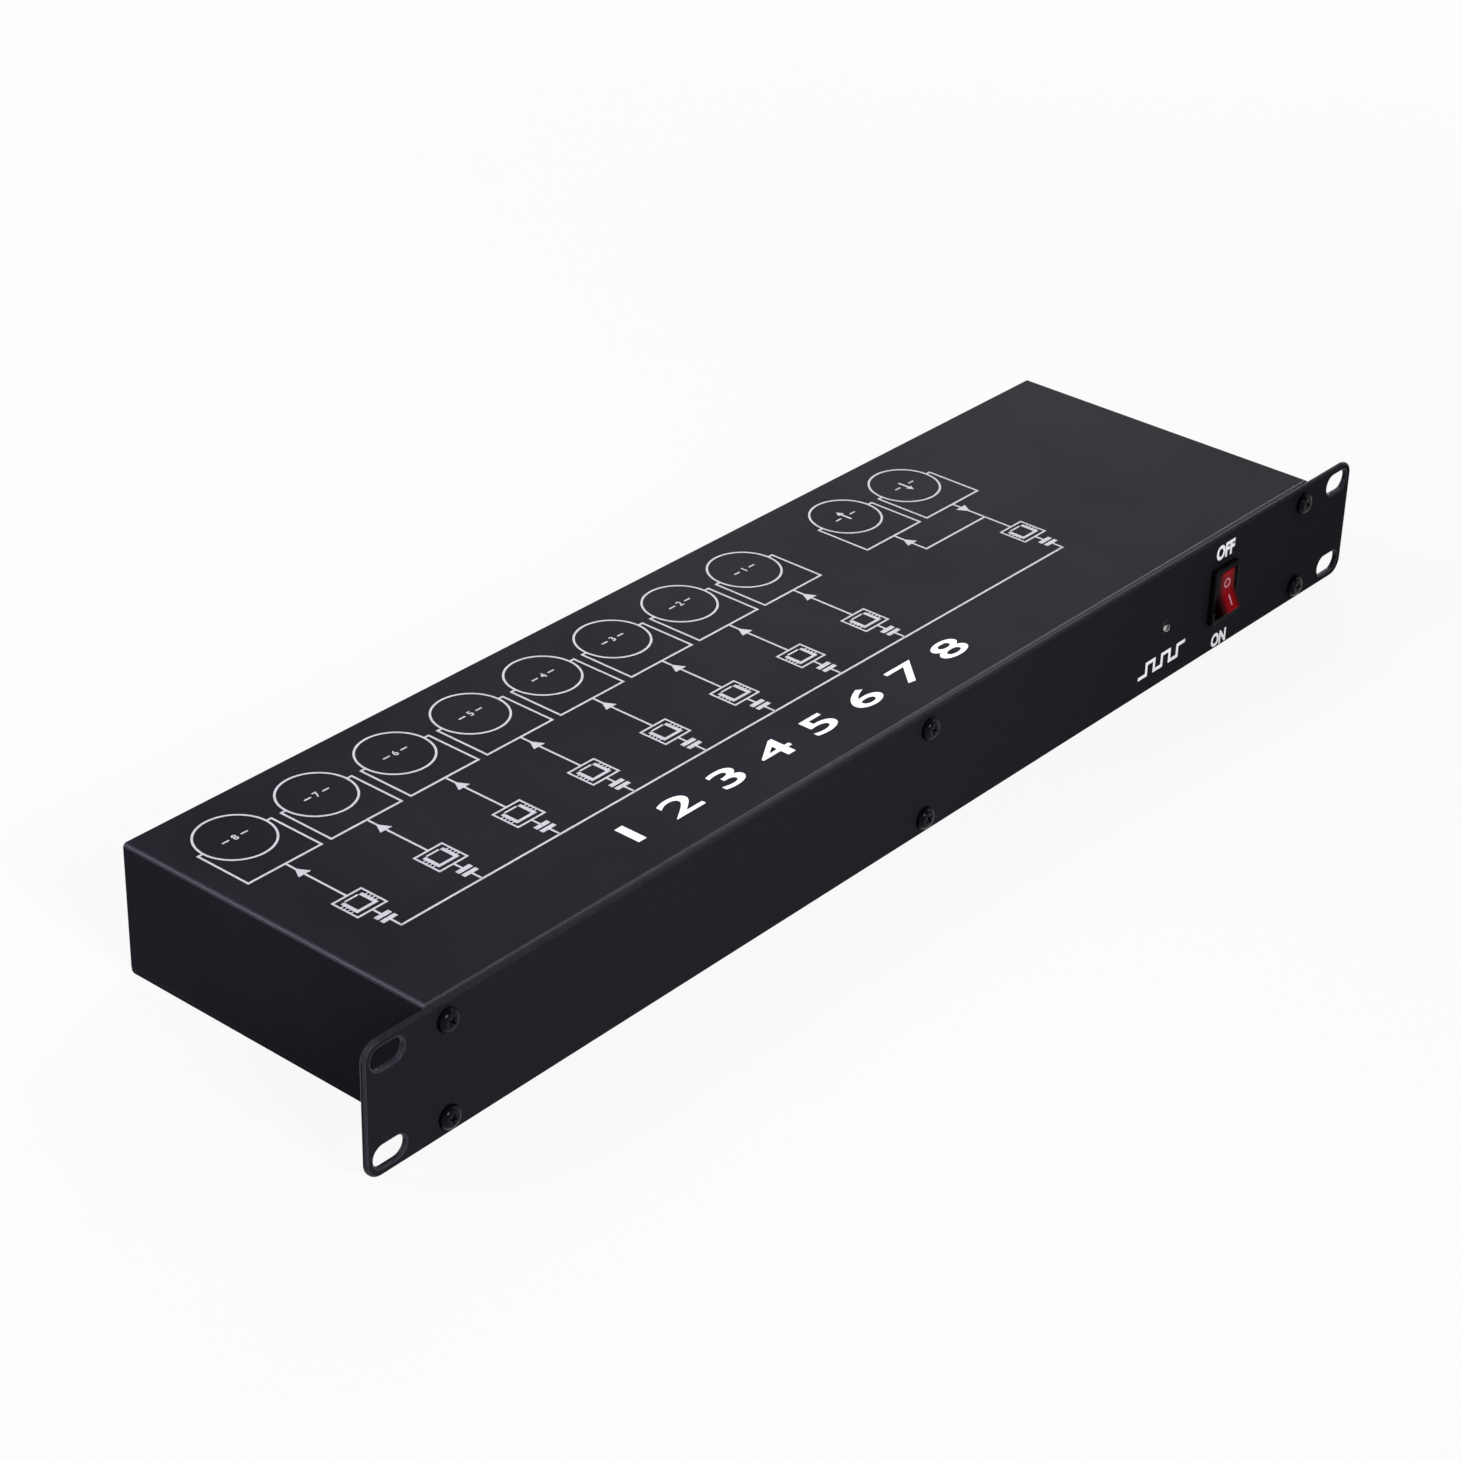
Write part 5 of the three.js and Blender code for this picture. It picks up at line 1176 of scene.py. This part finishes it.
bezel = rounded_plate(around(switch_x, BEZEL[0]), (switch_y[0], panel_y[0]),
                      around(centre_z, BEZEL[1]), BEZEL_CORNER, 6)
round_edges(bezel, at(Y, switch_y[0]), BEZEL_ROUNDING, 4)
body = add_block(around(switch_x, SWITCH_BODY_WIDTH), [panel_y[0] + end for end in BODY_ENDS],
                 around(centre_z, SWITCH_BODY_HEIGHT))
tabs = [add_block(around(switch_x, SNAP_TAB[0]), (panel_y[0] + SNAP_TAB[1], switch_y[1]),
                  around(centre_z + dz, SNAP_TAB[2])) for dz in (-SNAP_TAB_Z, SNAP_TAB_Z)]
weld(bezel, body, *tabs)
cut(bezel, add_block(around(switch_x, WELL[0]), (switch_y[0] - OVERRUN, panel_y[0] + WELL[2]),
                     around(centre_z, WELL[1])),
    add_peg(X, around(switch_x, SWITCH_BODY_WIDTH + OVERRUN), PIVOT_HOLE, PIVOT))
soften(bezel, CAST_EDGE)
dress(bezel, "switch_housing", polished_abs, ["switch_body"])

# %% [markdown]
# The rocker's side is a shape with seven corners: a crease in front, two ends that stand
# out, a waist and a keel. A circle with seven corners is put onto that shape and pulled
# across the switch. Its crease and its ends are rounded, as mouldings are. It is drawn
# level, then turned by half of its travel to the off position, with its upper half in.

# %% Rocker
HALF_TRAVEL = 13.5
ROCKER_WIDTH = 10.4
REACH = 8.2
FACE_DISTANCE = 2.9
END_LIP = 0.4
KEEL = (4.4, 4.0)
CREASE_ROUNDING = 1.4
END_ROUNDING = 0.5
PIN_LENGTH = 0.6
PIVOT_PIN = 1.1
ROCKER_EDGE = 0.3
slope = math.radians(HALF_TRAVEL)
end_z = REACH * math.cos(slope) - FACE_DISTANCE * math.sin(slope)
end_y = -(REACH * math.sin(slope) + FACE_DISTANCE * math.cos(slope))
crease_y = -FACE_DISTANCE / math.cos(slope)
outline = [(crease_y, 0), (end_y, end_z), (0, end_z - END_LIP), KEEL,
           (KEEL[0], -KEEL[1]), (0, END_LIP - end_z), (end_y, -end_z)]

rocker = add_object(bpy.ops.mesh.primitive_circle_add, vertices=len(outline), radius=MM,
                    fill_type="NGON")
for vertex, (y, z) in zip(rocker.data.vertices, outline):
    vertex.co = point(-ROCKER_WIDTH / 2, y, z)
edit_all(rocker, (bpy.ops.mesh.extrude_region_move,
                  {"TRANSFORM_OT_translate": {"value": point(ROCKER_WIDTH, 0, 0)}}))
face_outwards(rocker)
round_edges(rocker, both(along(X), at(Y, crease_y), at(Z, 0)), CREASE_ROUNDING, 6)
round_edges(rocker, both(along(X), at(Y, end_y)), END_ROUNDING, 4)
weld(rocker, add_peg(X, around(0, ROCKER_WIDTH + 2 * PIN_LENGTH), PIVOT_PIN))
turn(soften(rocker, ROCKER_EDGE, 3), X, -HALF_TRAVEL)
dress(shift(rocker, *PIVOT), "red_rocker", red_polycarbonate, ["switch_rocker"], "rocker")

# %% [markdown]
# The circle and the bar are printed on the rocker's two faces. Both are thin slabs on the
# upper face, which stands upright in the off position. The bar is then turned about the
# pivot to lie on the lower face.

# %% Marks on the rocker
MARK_THICKNESS = 0.06
CIRCLE_OFFSET = 3.6
CIRCLE_RADII = (1.25, 1.75)
BAR_OFFSET = 4.2
BAR_SIZE = (0.6, 3.8)
MARK_SHIFT = 0.5
PRINT_EDGE = 0.01
mark_y = around(PIVOT[1] - FACE_DISTANCE, MARK_THICKNESS)
mark_ink = make_finish("pad_printing_ink", ("a8788a", "c49aa6"), 0.3, 0.002, (0.4, 0.5), 0.1)

circle_spot = (switch_x + MARK_SHIFT, 0, centre_z + CIRCLE_OFFSET)
circle = cut(add_rod(Y, mark_y, CIRCLE_RADII[1], circle_spot),
             add_rod(Y, through(mark_y), CIRCLE_RADII[0], circle_spot))
bar = add_block(around(switch_x + 2 * MARK_SHIFT, BAR_SIZE[0]), mark_y,
                around(centre_z - BAR_OFFSET, BAR_SIZE[1]))
turn(bar, X, -2 * HALF_TRAVEL, PIVOT)
dress(soften(join([circle, bar]), PRINT_EDGE, 1), "rocker_marks", mark_ink, (), "rocker")

# %% [markdown]
# The signal lamp is a 3 mm diode: a clear body with a round tip that stands out of the panel,
# a wider rim behind it and two legs. A small bright cup on one leg holds the chip, and it is
# all that shows through the lens when the lamp is off.

# %% Signal lamp
LAMP_RADIUS = 1.5
LAMP_FOOT = -58.0
LAMP_TIP = 1.3
LAMP_RIM = (2.2, 1.0)
LEG = 0.6
LEG_EDGE = 0.06
LEG_X = 1.1
LEG_FRONT = -61.0
CUP_SPOT = (-0.65, 0.1)
CUP_RADII = (0.85, 0.6)
CUP_Y = (-62.4, -61.4)
ARM_LENGTH = 1.3
ARM_Y = (-61.9, -60.8)
ARM_HEIGHT = 0.5
lamp_x = lamp_spot[X]
lamp_y = span("signal_led", Y)

lamp = round_edges(add_peg(Y, (lamp_y[0], LAMP_FOOT), LAMP_RADIUS, lamp_spot), at(Y, lamp_y[0]),
                   LAMP_TIP, 8)
weld(lamp, add_peg(Y, around(LAMP_FOOT, LAMP_RIM[1]), LAMP_RIM[0], lamp_spot))
dress(soften(lamp, FINE_EDGE), "lamp_body", clear_epoxy, ["signal_led"])

lamp_legs = join([add_block(around(lamp_x + dx, LEG), (LEG_FRONT, lamp_y[1]), around(LAMP_Z, LEG))
                  for dx in (-LEG_X, LEG_X)])
weld(lamp_legs, add_block((lamp_x - ARM_LENGTH, lamp_x), ARM_Y, around(LAMP_Z, ARM_HEIGHT)),
     add_peg(Y, CUP_Y, CUP_RADII[0], (lamp_x + CUP_SPOT[0], 0, LAMP_Z + CUP_SPOT[1]), CUP_RADII[1]))
dress(soften(lamp_legs, LEG_EDGE), "lamp_legs", nickel)

# %% [markdown]
# The print on the top is ink of a few hundredths of a millimetre, and it stands proud of the
# paint. Straight strokes are thin slabs and rings are short rods with a hole. The rings lie
# over the connectors, and a bracket leads from each ring to its own line.

# %% Strokes of ink
LINE = 0.72
RING_SIDES = 128
ink_z = (top_z - HAIR, case_z[1])


def ink_shape(strokes):
    """Welds strokes that overlap, so that no two faces lie in the same place."""
    return weld(strokes[0], *strokes[1:])


def ink_line_x(x, y, width=LINE):
    return add_block(x, around(y, width), ink_z)


def ink_line_y(x, y, width=LINE):
    return add_block(around(x, width), y, ink_z)


def ink_ring(y, radius):
    return cut(add_rod(Z, ink_z, radius + LINE / 2, (0, y, 0), sides=RING_SIDES),
               add_rod(Z, through(ink_z), radius - LINE / 2, (0, y, 0), sides=RING_SIDES))


def ink_arrow(x, y, reach, way):
    """A triangle whose tip looks along +Y or -Y."""
    return shift(turn(add_rod(Z, ink_z, reach, sides=3), Z, 0 if way > 0 else 180), x, y)


print("the ink lies from", round(ink_z[0], 2), "to", ink_z[1], "mm")

# %% [markdown]
# A channel is drawn once, about x = 0, and copied to its eight places: the ring, the bracket,
# the arrow, a line to the amplifier chip, the chip with its two inner bars and its pins, a
# capacitor of two plates, and the line down to the common bus.

# %% One channel
RING_Y = 39.2
RING_RADIUS = 12.2
BRACKET_REACH = 14.5
BRACKET_Y = 18.5
CHIP_Y = (-16.5, -5.8)
CHIP_REACH = 5.9
CHIP_LINE = 0.65
CHIP_BARS = ((4.1, -14.0, 1.0), (2.5, -7.9, 0.6))
CHIP_SIDE = (3.5, (-14.5, -8.0), 1.3)
CHIP_PINS = ((4.0, 5.2), (-13.2, -11.9, -10.6, -9.3), 0.35)
PLATES = ((-21.1, -19.5), (-23.4, -21.9))
PLATE_REACH = 2.8
BUS_Y = -27.5
ARROW_REACH = 2.7
ARROW_Y = 12.0
INPUT_ARROW_Y = 13.7


def ink_bracket():
    side = BRACKET_REACH - LINE / 2
    sides = [ink_line_y(x, (BRACKET_Y, RING_Y + LINE / 2)) for x in (-side, side)]
    stubs = [ink_line_x(x, RING_Y)
             for x in ((-BRACKET_REACH, -RING_RADIUS), (RING_RADIUS, BRACKET_REACH))]
    return [*sides, *stubs, ink_line_x((-BRACKET_REACH, BRACKET_REACH), BRACKET_Y)]


def ink_chip():
    rims = ((CHIP_REACH, CHIP_Y[1] - CHIP_LINE / 2, CHIP_LINE),
            (CHIP_REACH, CHIP_Y[0] + CHIP_LINE / 2, CHIP_LINE))
    strokes = [ink_line_x((-reach, reach), y, width) for reach, y, width in (*rims, *CHIP_BARS)]
    for side in (-1, 1):
        strokes += [ink_line_y(side * x, y, width) for x, y, width in (
            (CHIP_REACH - CHIP_LINE / 2, CHIP_Y, CHIP_LINE), CHIP_SIDE)]
        pin_x, pins_y, width = CHIP_PINS
        strokes += [ink_line_x(sorted(side * x for x in pin_x), y, width) for y in pins_y]
    return strokes


def ink_foot():
    """The capacitor below a chip, with its two lines."""
    return [ink_line_y(0, (PLATES[0][1], CHIP_Y[0])), ink_line_y(0, (BUS_Y, PLATES[1][0])),
            *[add_block((-PLATE_REACH, PLATE_REACH), y, ink_z) for y in PLATES]]


def ink_channel(arrow_y, way, line_end, *more):
    """A ring with its bracket, an arrow, a line from the bracket, and what the line leads to."""
    return ink_shape([ink_ring(RING_Y, RING_RADIUS), *ink_bracket(),
                      ink_arrow(0, arrow_y, ARROW_REACH, way),
                      ink_line_y(0, (line_end, BRACKET_Y)), *more])


channel = ink_channel(ARROW_Y, 1, CHIP_Y[1], *ink_chip(), *ink_foot())
print("one channel has", len(channel.data.polygons), "faces")

# %% Channels in their places
THRU_TURN_Y = 4.8
outputs = [name for name in sockets if name.startswith("output_")]
thru_x = connector_x["thru"]
input_x = connector_x["input"]

for name in outputs:
    dress(shift(copy_of(channel), x=connector_x[name]), "print_" + name, ink)
bpy.data.objects.remove(channel)

thru_print = ink_channel(ARROW_Y, 1, THRU_TURN_Y,
                         ink_line_x((-LINE / 2, input_x - thru_x), THRU_TURN_Y))
dress(shift(thru_print, x=thru_x), "print_thru", ink)
input_print = ink_channel(INPUT_ARROW_Y, -1, CHIP_Y[1], *ink_chip(), *ink_foot())
dress(shift(input_print, x=input_x), "print_input", ink)
bus = ink_line_x((min(connector_x.values()) - LINE / 2, input_x + LINE / 2), BUS_Y)
dress(soften(bus, PRINT_EDGE, 1), "print_bus", ink)

# %% [markdown]
# Numbers and words come from Blender's own typeface. Its letters get a thickness and a little
# extra weight, become a mesh, and are resized to fill a width and a height. Double points are
# merged, because the converted letters come in loose sheets.

# %% Lettering
LETTER_STEPS = 6
LETTER_MERGE = 0.0001
LETTER_DEPTH = 0.5


def add_lettering(text, x, y, thickness, weight=0.0, keep_shape=False):
    """Letters that fill a width and a height and lie on the X-Y plane."""
    letters = add_object(bpy.ops.object.text_add)
    letters.data.body = text
    letters.data.offset = weight
    letters.data.extrude = LETTER_DEPTH
    letters.data.resolution_u = LETTER_STEPS
    bpy.ops.object.convert(target="MESH")
    letters = bpy.context.object
    edit_all(letters, (bpy.ops.mesh.remove_doubles, {"threshold": LETTER_MERGE}))
    face_outwards(letters)
    corners = [vertex.co for vertex in letters.data.vertices]
    low = [min(corner[axis] for corner in corners) for axis in (X, Y, Z)]
    size = [max(corner[axis] for corner in corners) - low[axis] for axis in (X, Y, Z)]
    if keep_shape:
        x = around(middle(x), length(y) * size[X] / size[Y])
    scale = Vector([wanted * MM / s for wanted, s in zip((length(x), length(y), thickness), size)])
    letters.scale = scale
    letters.location = point(x[0], y[0], 0) - scale * Vector(low)
    return settle(letters)


print("lettering is ready")

# %% [markdown]
# Each ring carries the number of its output, between two short dashes. The rings of the link
# and the input carry an arrow that leaves or enters. The broad line of print at the front
# edge is a plain row of the eight numbers.

# %% Numbers on the top
LABEL_HEIGHT = 2.7
LABEL_WEIGHT = 0.015
DASH = (3.6, 2.6, 0.55)
SHAFT = (5.0, 0.8)
TIP = (2.6, 1.5)
ROW = ((-116.5, 41.6), (-47.1, -37.3))
ROW_WEIGHT = 0.01
ink_thickness = length(ink_z)


def ink_dashes(x):
    offset, reach, width = DASH
    return [ink_line_x(around(x + dx, reach), RING_Y, width) for dx in (-offset, offset)]


for name in outputs:
    x = connector_x[name]
    number = add_lettering(name[-1], (x, x), around(RING_Y, LABEL_HEIGHT), ink_thickness,
                           LABEL_WEIGHT, keep_shape=True)
    dress(join([shift(number, z=ink_z[0]), *ink_dashes(x)]), "print_number_" + name[-1], ink)
for name, way in (("thru", 1), ("input", -1)):
    x = connector_x[name]
    strokes = [ink_line_y(x, around(RING_Y, SHAFT[0]), SHAFT[1]),
               ink_arrow(x, RING_Y + way * TIP[0], TIP[1], way), *ink_dashes(x)]
    dress(ink_shape(strokes), "print_way_" + name, ink)
row = add_lettering("1 2 3 4 5 6 7 8", *ROW, ink_thickness, ROW_WEIGHT)
dress(shift(row, z=ink_z[0]), "print_number_row", bold_ink)

# %% [markdown]
# The panel is printed too: OFF above the switch, ON below it, and beside the lamp a pulse
# mark, which is a square wave made of short strokes.

# %% Print on the panel
FRONT_INK = 0.04
WORDS = {"OFF": ((157.8, 168.6), (34.8, 40.4)), "ON": ((159.8, 168.7), (0.9, 6.1))}
WORD_WEIGHT = 0.045
PULSE_X = [116.0 + 4.5 * step for step in range(7)]
PULSE_Z = (6.9, 11.1)
PULSE_LINE = 1.3
print_back = panel_y[0] + HAIR


def add_word(word):
    """A word that is lettered flat, turned upright and put onto the panel's front face."""
    letters = add_lettering(word, *WORDS[word], FRONT_INK, WORD_WEIGHT)
    return shift(turn(letters, X, 90), y=print_back)


dress(join([add_word(word) for word in WORDS]), "print_switch_words", bold_ink)

pulse_y = (print_back - FRONT_INK, print_back)
pulse_reach = (PULSE_Z[0] - PULSE_LINE / 2, PULSE_Z[1] + PULSE_LINE / 2)
strokes = [add_block(ends, pulse_y, around(PULSE_Z[i % 2], PULSE_LINE))
           for i, ends in enumerate(zip(PULSE_X, PULSE_X[1:]))]
strokes += [add_block(around(x, PULSE_LINE), pulse_y, pulse_reach) for x in PULSE_X[1:-1]]
dress(ink_shape(strokes), "print_pulse_mark", bold_ink)

# %% [markdown]
# What is left of the frame's own solids is inside the case: the board, the transformer and
# the leads. Their shapes are right, so they stay and only get materials. The board is one
# solid with its parts, so its material changes with height above the board: green solder
# mask below, dark packages and fins above.

# %% Inside the case
BOARD_THICKNESS = 1.7
WEAVE = 1.5
LEADS = (("line_lead", "4a2817", "63381f"), ("switched_lead", "4a2817", "63381f"),
         ("neutral_lead", "183f80", "2656a6"), ("led_lead", "7e1414", "a32020"))


def paint_node(name, material):
    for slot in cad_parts[name].material_slots:
        slot.material = material
    print(name, "is now", material.name)


board_paint = start_material("solder_mask_and_parts")
place = add_node(board_paint, "TexCoord", {}).outputs["Object"]
height = add_node(board_paint, "SeparateXYZ", {"Vector": place})
raised = add_node(board_paint, "Math", {
    0: height.outputs["Z"], 1: (board_z[0] + BOARD_THICKNESS) * MM}, operation="GREATER_THAN")
weave = add_node(board_paint, "TexNoise", {
    "Vector": place, "Scale": 1 / (WEAVE * MM), "Detail": 3.0})
mask = add_node(board_paint, "Mix", {
    0: weave.outputs[0], 6: linear("0f4a28"), 7: linear("1d6a3c")}, data_type="RGBA")
parts = add_node(board_paint, "Mix", {
    0: raised.outputs[0], 6: mask.outputs[2], 7: linear("1b1b1d")}, data_type="RGBA")
shader = add_node(board_paint, "BsdfPrincipled", {
    "Base Color": parts.outputs[2], "Roughness": 0.4})
add_node(board_paint, "OutputMaterial", {"Surface": shader.outputs["BSDF"]})

paint_node("main_board", board_paint)
laminations = make_finish("varnished_laminations", ("3f3a34", "5c554c"), 0.5, 0.02, (0.4, 0.6))
paint_node("transformer", laminations)
for name, dark, light in LEADS:
    paint_node(name, make_finish(name + "_pvc", (dark, light), 0.6, 0.005, (0.4, 0.55)))

# %% [markdown]
# The floor and the backdrop are pale and plain, and look pure white to the camera, in
# reflections and through glass. Their shader mixes a white glow with a plain matt surface,
# and the glow's share comes from the kind of ray: a ray that only carries light sees the
# matt surface, so the white adds no light to the object. The matt share keeps its shadow.

# %% Floor and backdrop
GLOW_SHARE = 0.9
FLOOR_SIZE = 6.4
FLOOR_DROP = 0.1
BACKDROP_RADIUS = 3.0
BACKDROP_HEIGHT = 1.3

white = start_material("white_paper_sweep")
ray = add_node(white, "LightPath", {})
seen = add_node(white, "Math", {
    0: ray.outputs["Is Camera Ray"], 1: ray.outputs["Is Glossy Ray"]}, operation="MAXIMUM")
seen_through = add_node(white, "Math", {
    0: seen.outputs[0], 1: ray.outputs["Is Transmission Ray"]}, operation="MAXIMUM")
share = add_node(white, "Math", {0: seen_through.outputs[0], 1: GLOW_SHARE},
                 operation="MULTIPLY")
paper = add_node(white, "BsdfDiffuse", {"Color": linear("c8c8c8")})
glow = add_node(white, "Emission", {"Color": linear("ffffff"), "Strength": 1.0})
sweep = add_node(white, "MixShader", {
    0: share.outputs[0], 1: paper.outputs["BSDF"], 2: glow.outputs["Emission"]})
add_node(white, "OutputMaterial", {"Surface": sweep.outputs["Shader"]})

floor = add_object(bpy.ops.mesh.primitive_plane_add, size=FLOOR_SIZE,
                   location=(0, 0, -FLOOR_DROP * MM))
floor.name = "studio_floor"
backdrop = add_object(bpy.ops.mesh.primitive_cylinder_add, vertices=96, radius=BACKDROP_RADIUS,
                      depth=BACKDROP_HEIGHT, location=(0, 0, BACKDROP_HEIGHT / 2),
                      end_fill_type="NOTHING")
backdrop.name = "studio_backdrop"
for screen in (floor, backdrop):
    screen.data.materials.append(white)
    screen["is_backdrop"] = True
print("floor and backdrop are", white.name)

# %% [markdown]
# The studio light is soft and plain. A grey world fills everything evenly. Large soft panels
# stand where their mirror images fall on what is bright in the picture: the left fold of the
# top, the fold above the panel, and from behind the far right end of the top. One more has a
# grid in front of it, which narrows its light to the left half of the panel.

# %% Lamps and world
WORLD_GREY = 0.28

world = bpy.data.worlds.new("studio_light")
world.use_nodes = True
world.node_tree.nodes.clear()
sky = add_node(world, "Background", {"Color": linear("ffffff"), "Strength": WORLD_GREY})
add_node(world, "OutputWorld", {"Surface": sky.outputs["Background"]})
bpy.context.scene.world = world


def add_softbox(name, place, size, watts, aim=(0.0, 0.0, 0.0), spread=180):
    """A square soft light that looks at a point, with the angle that its light fans out to."""
    softbox = add_object(bpy.ops.object.light_add, type="AREA", location=place)
    softbox.name = name
    softbox.data.size = size
    softbox.data.energy = watts
    softbox.data.spread = math.radians(spread)
    softbox.rotation_euler = (Vector(aim) - Vector(place)).to_track_quat("-Z", "Y").to_euler()
    print(name, "gives", watts, "W")


add_softbox("left_softbox", (-1.15, 1.1, 1.15), 0.45, 18)
add_softbox("right_softbox", (1.33, -1.0, 1.1), 0.4, 7)
add_softbox("rear_softbox", (1.6, 1.0, 0.88), 1.2, 38)
add_softbox("panel_softbox", (-0.4, -1.1, 0.55), 0.7, 1.7, (-0.22, -0.06, 0.02), 25)

# %% [markdown]
# The view transform is Standard, so a colour in a material is the colour in the picture. The
# two boxes, the frame's and the dressed model's, are printed.

# %% Finish
bpy.context.scene.view_settings.view_transform = "Standard"


def plain(value):
    """Nested lists of plain numbers."""
    return [plain(v) for v in value] if hasattr(value, "__len__") else float(value)


boxes = {"cad": plain(cad_box), "dressed": plain(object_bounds())}
print(boxes)
